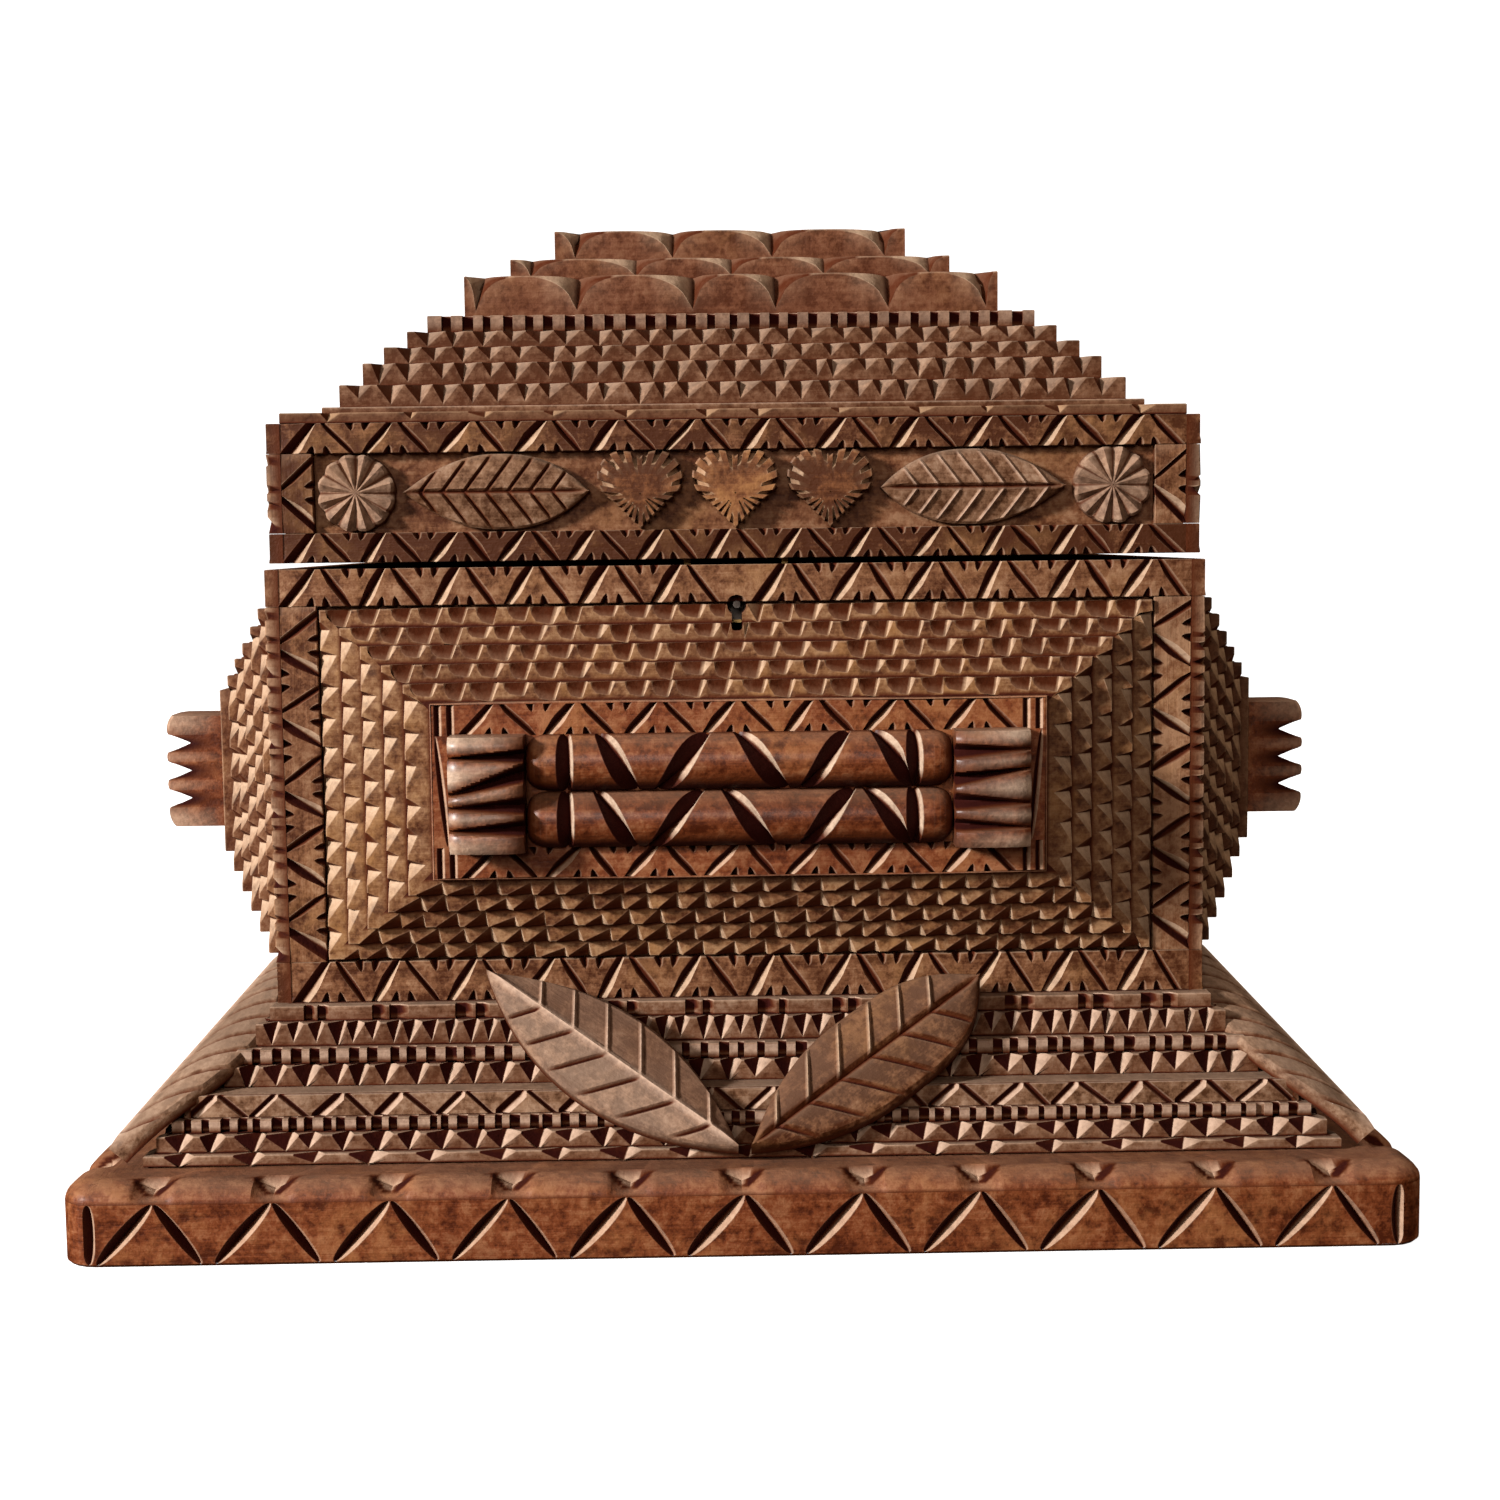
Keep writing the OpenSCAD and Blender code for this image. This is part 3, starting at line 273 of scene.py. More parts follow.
class Piece:
    # gathers grids of points into one mesh with the marks and wood attributes
    def __init__(self, name, body, slot, *nodes, look=None):
        self.name, self.body, self.slot, self.nodes, self.look = name, body, slot, nodes, look or slot
        self.verts, self.quads, self.marks, self.wood, self.count = [], [], [], [], 0
        self.shift = np.array([nameShift(name, k) for k in range(3)]) * 0.7

    def grid(self, local, place, inside, cut, dirtAndShade, tone, loop=False):
        # faces turn away from the point inside; the pale mark (bare wood and painted highlight), the dark
        # mark (dirt and painted shade) and tone are single values or one for each point
        rows, cols = local.shape[:2]
        world = place(local).reshape(-1, 3)
        centre = place(np.asarray(inside, float))
        idx = np.arange(rows * cols).reshape(rows, cols)
        if loop:
            idx = np.concatenate([idx, idx[:, :1]], 1)
        quads = np.stack([idx[:-1, :-1], idx[:-1, 1:], idx[1:, 1:], idx[1:, :-1]], -1).reshape(-1, 4)
        a, b, c, d = (world[quads[:, k]] for k in range(4))
        normal = np.cross(c - a, d - b)
        if np.sum(normal * ((a + b + c + d) / 4 - centre)) < 0:
            quads = quads[:, ::-1]
        quads = quads[np.linalg.norm(normal, axis=1) > 1e-7]
        shape = (rows, cols)
        marks = np.stack([np.broadcast_to(v, shape).astype(float) for v in (cut, dirtAndShade, 0.0, tone)], -1)
        self.wood.append(local.reshape(-1, 3) * 0.001 + self.shift)
        self.verts.append(world)
        self.quads.append(quads + self.count)
        self.marks.append(marks.reshape(-1, 4))
        self.count += len(world)

    def build(self):
        verts, quads = np.concatenate(self.verts) * 0.001, np.concatenate(self.quads)
        mesh = bpy.data.meshes.new(self.name)
        mesh.from_pydata(verts, [], quads)
        mesh.update()
        up = np.zeros(len(verts) * 3)
        mesh.vertex_normals.foreach_get("vector", up)
        marks = np.concatenate(self.marks)
        marks[:, 2] = unit(up.reshape(-1, 3)[:, 2])
        mesh.attributes.new("marks", "FLOAT_COLOR", "POINT").data.foreach_set("color", marks.ravel())
        wood = mesh.attributes.new("wood", "FLOAT_VECTOR", "POINT")
        wood.data.foreach_set("vector", np.concatenate(self.wood).ravel())
        mesh.polygons.foreach_set("use_smooth", np.full(len(mesh.polygons), True))
        mesh.set_sharp_from_angle(angle=math.radians(28.0))
        mesh.materials.append(materials[self.look])
        obj = putObject(self.name, mesh)
        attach(obj, self.body)
        if self.nodes:
            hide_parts(*self.nodes)


# One notch as places across its half width and shares of its reach into the face; where its fall differs
# from that, a third row has the shares of the fall. A notch goes into the face and down the edge, a slot
# goes in over the whole thickness; lean moves its deepest line, slant tilts it, land is left at each end
# and vary is how uneven the row is. Soil, pale, show and bare set the marks on its walls and between two
# of them: soil is the painted shade, with dirt, on the wall that faces away from the light; pale and show
# set how pale the bare wood on the walls is, paler on the lit wall as a painted highlight; bare is the bare
# wood between two of them.
notchShapes = {
    "saw": ([-1, -0.96, -0.55, -0.5, -0.3, 0.55, 0.9, 1], [0, 0.1, 0.95, 1, 1, 0.84, 0.4, 0],
            [0, 0.1, 0.95, 1, 0.9, 0.4, 0.1, 0]),
    "wedge": ([-1, -0.95, -0.05, 0, 0.05, 0.95, 1], [0, 0.05, 0.95, 1, 0.95, 0.05, 0]),
    "slot": ([-1, -0.92, -0.88, 0.88, 0.92, 1], [0, 1, 1, 1, 1, 0]),
    "pair": ([-1, -0.96, -0.5, -0.08, 0.05, 0.09, 0.55, 0.98, 1], [0, 1, 1, 0, 0, 1, 1, 0.05, 0]),
}
leanSign = [1, 1, -1, -1]  # sign along each edge of a lean to the right or upwards
litSign = [1, -1, -1, 1]  # sign of the wall that looks to the left or up, along each edge
arris = 0.22  # worn edge of a board or a strip, in millimetres


# Samples along one edge from its first corner: distance along it, shares of the reach and of the fall
# there, and 1 on a lit wall or -1 on a shaded one
def edgeSamples(length, notch, edge):
    if not notch:
        s = np.linspace(0, length, max(3, int(length / 10)))[:-1]
        return s, np.zeros(len(s)), np.zeros(len(s)), np.zeros(len(s))
    kind = notch["kind"] if isinstance(notch["kind"], str) else notch["kind"][edge]
    if kind == "scallop":
        # lobes between the valleys; one more lobe, half of it on each edge, makes the tip at a corner
        tip = notch["tip"]
        n = max(1, round((length - 2 * tip) / notch["pitch"]))
        step = (length - 2 * tip) / n
        valley = tip + np.arange(n + 1) * step + np.pad(rng.normal(0, 0.05 * step, n - 1), 1)
        valley = np.concatenate([[-tip], valley, [length + tip]])
        u = np.linspace(-1, 1, 25)[:-1]
        across = unit(np.abs(u) / 0.94) ** np.where(u < 0, 2.8, 2.1)
        s = (valley[:-1, None] + (u + 1) / 2 * np.diff(valley)[:, None]).ravel()
        c = np.tile(1 - np.sqrt(1 - across), n + 2)
        keep = (s >= 0) & (s < length - 0.01)
        return s[keep], c[keep], c[keep], (np.tile(np.sign(u), n + 2) * (c > 0.04))[keep]
    shape = [np.array(v, float) for v in notchShapes[kind]]
    if kind == "saw" and leanSign[edge] > 0:
        shape = [-shape[0][::-1]] + [v[::-1] for v in shape[1:]]
    u, share, fall = shape[0], shape[1], shape[-1]
    vary = notch.get("vary", 1.0)
    land = notch.get("land", 2.4)
    n = max(1, int((length - 2 * land) / notch["pitch"]))
    step = (length - 2 * land) / n
    centre = land + (np.arange(n) + 0.5) * step + rng.normal(0, 0.065 * vary * step, n)
    half = notch["width"] / 2 * np.clip(1 + rng.normal(0, 0.12 * vary, n), 0.6, 1.25)
    skew = leanSign[edge] * np.broadcast_to(notch.get("lean", 0.0), 4)[edge] + rng.normal(0, 0.15 * vary, n)
    deep = np.clip(1 + rng.normal(0, 0.16 * vary, n), 0.5, 1.2)
    s = centre[:, None] + half[:, None] * (u + skew[:, None] * (1 - np.abs(u)))
    c, f = deep[:, None] * share, deep[:, None] * fall
    s = np.maximum.accumulate(np.clip(np.concatenate([[0.0], s.ravel()]), 0, length - 0.01))
    deepest = u[fall.argmax()] if kind == "saw" else 0.0
    lit = litSign[edge] * np.sign(u - deepest) * (np.abs(u) < 0.99) * (share > 0.02)
    return s, *(np.concatenate([[0.0], v]) for v in (c.ravel(), f.ravel(), np.tile(lit, n)))


# Outline of a board from corner to corner; a bite is a bay in the middle of one edge, as for the keyhole
def perimeter(w, d, notch, bite):
    halfW, halfD = w / 2, d / 2
    corners = [(-halfW, -halfD, 1, 0, w), (halfW, -halfD, 0, 1, d),
               (halfW, halfD, -1, 0, w), (-halfW, halfD, 0, -1, d)]
    parts = []
    for edge, (x, y, dx, dy, length) in enumerate(corners):
        s, c, f, lit = edgeSamples(length, notch, edge)
        bay = np.zeros_like(s)
        if bite and bite["edge"] == edge:
            spots = length / 2 + np.array(bite["across"])
            keep = (s < spots[0] - 0.2) | (s > spots[-1] + 0.2)
            order = np.argsort(np.concatenate([s[keep], spots]), kind="stable")
            bay = np.concatenate([bay[keep], bite["deep"]])[order]
            c, f, lit = (np.concatenate([v[keep], np.zeros(len(spots))])[order] for v in (c, f, lit))
            s = np.concatenate([s[keep], spots])[order]
        parts.append((x + dx * s, y + dy * s, c, f, s + edge * 1000.0, bay, lit))
    return (np.concatenate(v) for v in zip(*parts))


# Board with carved edges: rings run from the middle of the underside out, up the edge, over the chips and
# in to the middle of the face. Painted shade lies along the foot of the board above, set back in width and
# depth, and on the underside and the foot of the edge.
def board(piece, size, place, notch=None, margin=0.0, tone=0.5, bite=None, above=None, centre=0.5):
    w, d, t = size
    px, py, c, f, u, bay, lit = perimeter(w, d, notch, bite)
    spec = notch or {}
    into, down, deep = (spec.get(k, 0.0) for k in ("into", "down", "slot"))
    side = (u // 1000).astype(int)
    slant = np.broadcast_to(spec.get("slant", 0.0), 4)[side] * np.array(leanSign)[side] * c * into
    slantX, slantY = slant * np.array([1, 0, -1, 0])[side], slant * np.array([0, 1, 0, -1])[side]
    bow = 0.12 * np.sin(u * 0.031 + w) + 0.08 * np.sin(u * 0.11 + d)
    pale = spec.get("pale", 1.0)
    # the chips' lit walls get a painted highlight on their bare wood, the shaded walls painted shade; slots
    # and the keyhole bay are darkened with painted shade
    cutHere = unit(c * spec.get("show", 1.6)) * (0.45 + 0.55 * (lit > 0)) * pale
    freshAndHighlight = 0.25 * pale + (1 - 0.25 * pale) * cutHere
    shaded = spec.get("soilAndShade", 0.6) * (lit < 0)
    bare = spec.get("bare", 0.0) * (c < 0.5)
    slotShade = 0.9 * (deep > 0) * (c > 0.5)
    wearAndShade = 0.8 * (bay > 0)
    core = min(w, d) / 2
    outer = deep * c + 0.12 + bow + bay
    chip = outer + into * c + arris
    half = arris + (t - 2 * arris - down * f) * 0.5  # heights on the edge below a chip
    low = t - arris - down * f
    # the underside and the foot of the edge are darkened with painted shade
    rings = [
        (core, 0.0, 0.0, 0.8),
        (outer + arris * 0.6, 0.0, 0.0, 0.9),
        (outer, arris * 0.6, 0.0, 0.85),
        (outer, arris * 0.6 + np.minimum(0.45, (t - down * f) * 0.2), 0.0, 0.3),
        (outer, half, 0.1 * cutHere + bare, 0.25 + slotShade + wearAndShade - 0.2 * bare),
        (outer, low - 0.25, 0.25 * cutHere + bare, 0.1 + slotShade + wearAndShade),
        (outer, low, freshAndHighlight, shaded + slotShade * 0.5 + wearAndShade * 0.7),
        (outer + (into * c + arris) * 0.45, t - (arris + down * f) * 0.48, freshAndHighlight, shaded + wearAndShade * 0.6),
        (chip, t, freshAndHighlight, shaded * 0.8 + wearAndShade * 0.5),
        (chip + 0.25, t, 0.12 * cutHere, wearAndShade * 0.4),
    ]
    if above:
        foot = np.where(side % 2 == 0, above[1], above[0])
        rings += [(np.maximum(foot - 1.1, chip + 0.3), t, 0.0, 0.08), (foot + 0.05, t, 0.0, 0.85)]
    else:
        land = margin or max(into, deep, bay.max()) * 1.25 + arris + 0.5
        rings.append((land, t, 0.0, 0.05))
    if not margin:
        rings.append((core, t, 0.0, centre))
    flat = np.zeros_like(c)
    pts, cuts, soilsAndShades = [], [], []
    for k, (inset, h, cutMark, soilAndShade) in enumerate(rings):
        inset, h = inset + flat, h + flat
        ix, iy = w / 2 - inset, d / 2 - inset
        lean = 1.0 if k < 7 else 0.55 if k == 7 else 0.0  # below the chip, on it and above it
        x, y = np.clip(px + lean * slantX, -ix, ix), np.clip(py + lean * slantY, -iy, iy)
        pts.append(np.stack([x, y, h], -1))
        cuts.append(cutMark + flat)
        soilsAndShades.append(soilAndShade + flat)
    piece.grid(np.stack(pts), place, (0, 0, t / 2), np.stack(cuts), np.stack(soilsAndShades), tone, True)


strokeRows = np.array([0, 0.02, 0.06, 0.1, 0.14, 0.19, 0.27, 0.38,
                       0.5, 0.62, 0.73, 0.81, 0.88, 0.94, 0.98, 1])[:, None]


# Width share of a stroke from foot to head: a lens over its height, a nick at one edge or a half round
def strokeLens(kind, end):
    v = strokeRows
    if kind == "low":
        return unit(1 - v / 0.27) ** 0.6
    if kind == "high":
        return unit((v - 0.73) / 0.27) ** 0.6
    if kind == "round":
        return np.sqrt(unit(1 - (v / 0.19) ** 2))
    return end + (1 - end) * unit(np.sin(math.pi * v)) ** 0.5


# Field with V gouges: each stroke is (x at its foot, x at its head, half width, depth, kind). Seven columns
# follow each stroke: rim, edge, wall, floor of the V, wall, edge, rim. A skew moves the floor to the right,
# bend adds a height to the whole field and grime its painted shade and dirt.
def carvedFace(piece, place, region, h, strokes, tone, inside, bend=None, end=0.0, walls=False, skew=0.0,
               grimeAndShade=None, black=1.0):
    x0, x1, y0, y1 = region
    v = strokeRows
    lens = np.concatenate([strokeLens(s[4], end) for s in strokes], 1)
    xb, xt, half, depth = (np.array([s[k] for s in strokes], float)[None] for k in range(4))
    narrow = np.array([s[4] in ("low", "high", "round", "thin") for s in strokes])
    pale = np.array([0.65 if s[4] != "full" else 1.0 for s in strokes])
    mid = xb + (xt - xb) * v
    halves = half * lens
    between = (mid[:, 1:] + mid[:, :-1]) / 2
    lowEnd = np.concatenate([np.full((len(v), 1), x0), between], 1)
    highEnd = np.concatenate([between, np.full((len(v), 1), x1)], 1)
    lo, hi = np.maximum(mid - halves, lowEnd), np.minimum(mid + halves, highEnd)
    rim = 0.25
    deepest = np.clip(mid + skew * halves, lo, hi)
    cols = [np.maximum(lo - rim, lowEnd), lo, (lo + deepest) / 2, deepest, (hi + deepest) / 2, hi,
            np.minimum(hi + rim, highEnd)]
    sunk = np.array([0, 0, -0.5, -1, -0.5, 0, 0])
    # one wall of each gouge is darkened with painted shade and the other made pale with a painted highlight;
    # nicks and thin strokes are darkened all through with painted shade
    cutMark = np.array([0, 0.3, 0.2, 0.3, 0.9, 0.9, 0])
    soilAndShade = np.array([0, 0.75, 1.0, 0.9, 0.05, 0, 0])
    dark = np.array([0, 0.2, 0.75, 0.9, 0.75, 0.2, 0])  # for nicks and thin strokes
    n = mid.shape[1]
    x = np.stack(cols, -1).reshape(len(v), -1)
    z = (sunk[None, None] * (depth * lens)[..., None]).reshape(len(v), -1)
    show = np.repeat(unit(halves / 0.3), 7, axis=1)
    cuts = np.tile(cutMark, n)[None] * show * np.repeat(pale, 7)[None]
    soilsAndShades = np.concatenate([dark if k else soilAndShade for k in narrow])[None] * show * black
    ends = [np.full((len(v), 1), x0), np.full((len(v), 1), x1)]
    none = np.zeros((len(v), 1))
    x = np.concatenate([ends[0], x, ends[1]], 1)
    z, cuts, soilsAndShades = (np.concatenate([none, k, none], 1) for k in (z, cuts, soilsAndShades))
    y = y0 + (y1 - y0) * v + np.zeros_like(x)
    if bend is not None:
        z = z + bend(x, y)
    if grimeAndShade is not None:
        soilsAndShades = np.maximum(soilsAndShades, grimeAndShade(x, y))
    pts = np.stack([x, y, h + z], -1)
    if walls:
        # a worn arris, then the strip's four edges down to its foot, where painted shade darkens them
        pts[[0, -1], :, 2] -= arris
        pts[:, [0, -1], 2] -= arris
        pts[:, :, 2] = np.maximum(pts[:, :, 2], 0.15)
        cuts[[0, -1]] = np.maximum(cuts[[0, -1]], 0.35)
        pts = np.pad(pts, ((1, 1), (1, 1), (0, 0)), mode="edge")
        pts[[0, -1], :, 2] = 0.0
        pts[:, [0, -1], 2] = 0.0
        cuts, soilsAndShades = np.pad(cuts, 1), np.pad(soilsAndShades, 1, constant_values=0.6)
        foot = np.array([[[x0, y0, 0.0], [x1, y0, 0.0]], [[x0, y1, 0.0], [x1, y1, 0.0]]])
        piece.grid(foot, place, (0, 0, h), 0.0, 0.8, tone)
    piece.grid(pts, place, inside, cuts, soilsAndShades, tone)


# Zigzag of rising and falling gouges, with two nicks at the foot of each triangle where asked for
def zigzag(x0, x1, period, half, depth, nicks):
    n = max(1, round((x1 - x0) / period))
    p = (x1 - x0) / n
    gap, apart, nick = 0.045 * p, 0.11 * p, (nicks, depth * 1.5)
    strokes = []
    for k in range(n):
        a, b = x0 + k * p, x0 + (k + 1) * p
        wob = rng.normal(0, 0.03 * p, 3)
        wide, deep = half * (1 + 0.13 * rng.normal()), depth * (1 + 0.12 * rng.normal())
        thin = half * 0.6 * (1 + 0.13 * rng.normal())
        peak = a + p / 2 + wob[0]
        strokes.append((a + gap + abs(wob[1]), peak - gap, wide, deep, "full"))
        if nicks:
            strokes += [(peak + hand * apart, peak + hand * gap / 3, *nick, "low") for hand in (-1, 1)]
        strokes.append((b - gap - abs(wob[2]), peak + gap, thin, deep * 0.85, "thin"))
        if nicks and k < n - 1:
            strokes += [(b + hand * gap / 3, b + hand * apart, *nick, "high") for hand in (-1, 1)]
    return strokes


# Strip of frame: zigzag gouges from edge to edge, two small nicks at the foot of each triangle.
# With a hole the zigzag leaves room in the middle for a half round cut right through the lower edge.
def rail(piece, size, place, period, tone, half, depth=1.9, nicks=1.15, hole=None):
    length, height, t = size
    region = (-length / 2, length / 2, -height / 2, height / 2)
    x0, x1 = region[0] + 0.6, region[1] - 0.6
    if hole:
        strokes = zigzag(x0, -hole["room"], period, half, depth, nicks)
        strokes.append((0.0, 0.0, hole["half"], 40.0, "round"))
        strokes += zigzag(hole["room"], x1, period, half, depth, nicks)
    else:
        strokes = zigzag(x0, x1, period, half, depth, nicks)
    carvedFace(piece, place, region, t, strokes, tone, (0, 0, t / 2), end=0.93, walls=True, skew=-0.1)


# A board's own tone
def shade(spread, mean=0.5):
    return float(rng.normal(mean, spread))


# Board that is a piece of its own, as large as its CAD node
def boardPiece(name, body, slot, node, notch, tone, look=None, **more):
    lo, hi = boxOf(node)
    piece = Piece(name, body, slot, node, look=look)
    board(piece, tuple(hi - lo), lie(lo[2]), notch, tone=tone, **more)
    piece.build()


# Frames of case and lid: rails run the whole width, stiles stand between them
def frameStrips(piece, side, out, z, w, h, spec, t, tone=0.5, hole=None):
    top, foot = (w, spec["top"], t), (w, spec["bottom"], t)
    period, half = spec["period"], spec["half"]
    rail(piece, top, stand(side, out, z + h - spec["top"] / 2), period, shade(0.05, tone), half, hole=hole)
    rail(piece, foot, stand(side, out, z + spec["bottom"] / 2), period * 0.97, shade(0.05, tone - 0.2), half)
    tall = h - spec["top"] - spec["bottom"] - 0.2
    middle = z + spec["bottom"] + 0.1 + tall / 2
    for hand in (-1, 1):
        place = stand(side, out, middle, hand * (w - spec["stile"]) / 2, turn=True)
        # stiles: the right one lighter as painted light against the panel's shadow, the left one darker wood
        stileTone = shade(0.04, tone + 0.05 + 0.28 * hand)
        rail(piece, (tall, spec["stile"], t), place, period * 0.93, stileTone, half)


# Strip sizes in millimetres; the frames' outer sizes come from the CAD boxes
caseFrame = {"top": 9.0, "bottom": 10.0, "stile": 9.0, "period": 18.8, "half": 2.05}
lidFrame = {"top": 7.2, "bottom": 7.1, "stile": 7.5, "period": 17.9, "half": 2.15}
keyhole = {"r": 2.3, "slot": 1.2, "drop": 9.8, "length": 6.0, "room": 4.0}
frameLo, frameHi = boxOf("front_frame")
lidLo, lidHi = boxOf("lid_frame_front")
bodyW, bodyH, floorZ = frameHi[0] - frameLo[0], frameHi[2] - frameLo[2], frameLo[2]
bodyD = boxOf("left_frame")[1][1] * 2
lidW, lidH, lidZ = lidHi[0] - lidLo[0], lidHi[2] - lidLo[2], lidLo[2]
stripT = frameHi[1] - frameLo[1]
carcass = -frameHi[1]
railHole = {"room": keyhole["room"], "half": keyhole["r"] * 0.95}
for name, side, out, w in (("front_frame", front, carcass, bodyW), ("left_frame", left, bodyW / 2, bodyD),
                           ("right_frame", right, bodyW / 2, bodyD)):
    piece = Piece(name + "Wood", "case", "wood_brown", name)
    hole = railHole if side == front else None
    frameStrips(piece, side, out, floorZ, w, bodyH, caseFrame, stripT, hole=hole)
    piece.build()
for name, side, out, w in (("lid_frame_front", front, carcass, lidW),
                           ("lid_frame_back", back, carcass, lidW),
                           ("lid_frame_left", left, lidW / 2, bodyD),
                           ("lid_frame_right", right, lidW / 2, bodyD)):
    piece = Piece(name + "Wood", "lid", "wood_brown", name)
    frameStrips(piece, side, out, lidZ, w, lidH, lidFrame, stripT, 0.02)
    piece.build()
print("frames made")

# Stepped panels: five notched boards, each set back from the one below
panel = {"first": 4.5, "sideFirst": 7.2, "t": 3.2, "stepX": 5.4, "stepZ": 4.4, "gap": 0.6,
         "plaqueT": 3.5, "marginX": 6.5, "marginZ": 4.3}
panelNotch = {"kind": ("wedge", "wedge", "saw", "wedge"), "pitch": 6.9, "width": 6.3, "into": 3.3,
              "down": 2.7, "land": 2.0, "lean": (0.7, 0.5, 0.0, 0.5), "slant": (0.0, 0.0, 0.28, 0.0),
              "soilAndShade": 0.62}
panelH = bodyH - caseFrame["top"] - caseFrame["bottom"] - 2 * panel["gap"]
panelZ = floorZ + caseFrame["bottom"] + panel["gap"] + panelH / 2
frontW = bodyW - 2 * caseFrame["stile"] - 2 * panel["gap"]
sideW = bodyD - 2 * caseFrame["stile"] - 2 * panel["gap"]


def panelLayer(piece, side, k, w, tone, bite=None):
    onEnd = side in (left, right)
    first = panel["sideFirst"] if onEnd else panel["first"]
    out = (bodyW / 2 if onEnd else carcass) + (0 if k == 0 else first + (k - 1) * panel["t"])
    size = (w - 2 * k * panel["stepX"], panelH - 2 * k * panel["stepZ"], first if k == 0 else panel["t"])
    above = (panel["stepX"], panel["stepZ"]) if k < 4 else (panel["marginX"], panel["marginZ"])
    if side == back and k == 4:
        above = None  # no plaque here
    centre = 0.5 if above else 0.05
    place = stand(side, out, panelZ)
    board(piece, size, place, panelNotch, tone=tone, bite=bite, above=above, centre=centre)
    return out + size[2], size


# Bays for the keyhole in the upper edges of two boards: the lower half of its round part and its slot
keyTop = caseFrame["top"] + panel["gap"]
slotEnd = keyhole["drop"] + keyhole["length"] - keyTop
turns = np.linspace(0, 1.0, 5)
acrossRound = keyhole["r"] * np.cos(turns)
deepRound = keyhole["drop"] - keyTop + keyhole["r"] * np.sin(turns)
acrossBay = np.concatenate([[keyhole["r"] + 0.3], acrossRound, [keyhole["slot"], keyhole["slot"] * 0.6]])
deepBay = np.concatenate([[0.0], deepRound, [slotEnd - 0.4, slotEnd]])
tail = slotEnd - panel["stepZ"]
acrossTail, deepTail = np.array([1.5, 1.2, 0.7]), np.array([0.0, tail * 0.8, tail])
bites = [{"edge": 2, "across": np.concatenate([-a, a[::-1]]), "deep": np.concatenate([d, d[::-1]])}
         for a, d in ((acrossBay, deepBay), (acrossTail, deepTail))] + [None] * 3
for k in range(5):
    piece = Piece("frontLayer%d" % (k + 1), "case", "wood_brown", "front_layer_%d" % (k + 1), look="golden")
    panelTop, topSize = panelLayer(piece, front, k, frontW, shade(0.04, 0.62 if k == 0 else 0.52), bites[k])
    piece.build()
plaqueCut = {"margin": 0.5, "band": 7.4, "uprights": (1.6, 4.6), "uprightHalf": 0.85, "uprightDepth": 1.3,
             "start": 6.6, "period": 18.6, "half": 1.9, "depth": 1.9, "nicks": 1.0}


def plaqueSize(below):
    return below[0] - 2 * panel["marginX"], below[1] - 2 * panel["marginZ"], panel["plaqueT"]


# Plaque: zigzag bands at top and foot, upright pairs of gouges at the ends, slanting ones by the handle
def plaque(piece, side, out, size, tone=0.5):
    w, h, t = size
    place = stand(side, out, panelZ)
    m, band, start = (plaqueCut[k] for k in ("margin", "band", "start"))
    board(piece, size, place, None, margin=m, tone=tone)
    x0, x1 = -w / 2 + m, w / 2 - m
    upright = (plaqueCut["uprightHalf"], plaqueCut["uprightDepth"], "full")
    cutting = [plaqueCut[k] for k in ("period", "half", "depth", "nicks")]
    for foot in (-h / 2 + m, h / 2 - m - band):
        strokes = [(x0 + e, x0 + e, *upright) for e in plaqueCut["uprights"]]
        strokes += zigzag(x0 + start, x1 - start, *cutting)
        strokes += [(x1 - e, x1 - e, *upright) for e in plaqueCut["uprights"][::-1]]
        region = (x0, x1, foot, foot + band)
        carvedFace(piece, place, region, t, strokes, tone, (0, 0, t / 2), end=0.93, skew=-0.05)
    slants = [(-w / 2 + 4.0, -w / 2 + 1.5, 0.8), (-w / 2 + 4.6, -w / 2 + 5.8, 0.6),
              (w / 2 - 5.8, w / 2 - 4.6, 0.6), (w / 2 - 4.0, w / 2 - 1.5, 0.8)]
    strokes = [(a, b, r, 1.2 * r, "full") for a, b, r in slants]
    region = (x0, x1, -h / 2 + m + band, h / 2 - m - band)
    carvedFace(piece, place, region, t, strokes, tone, (0, 0, t / 2))


piece = Piece("plaqueWood", "case", "wood_red", "front_plaque")
plaque(piece, front, panelTop, plaqueSize(topSize), 0.62)
piece.build()


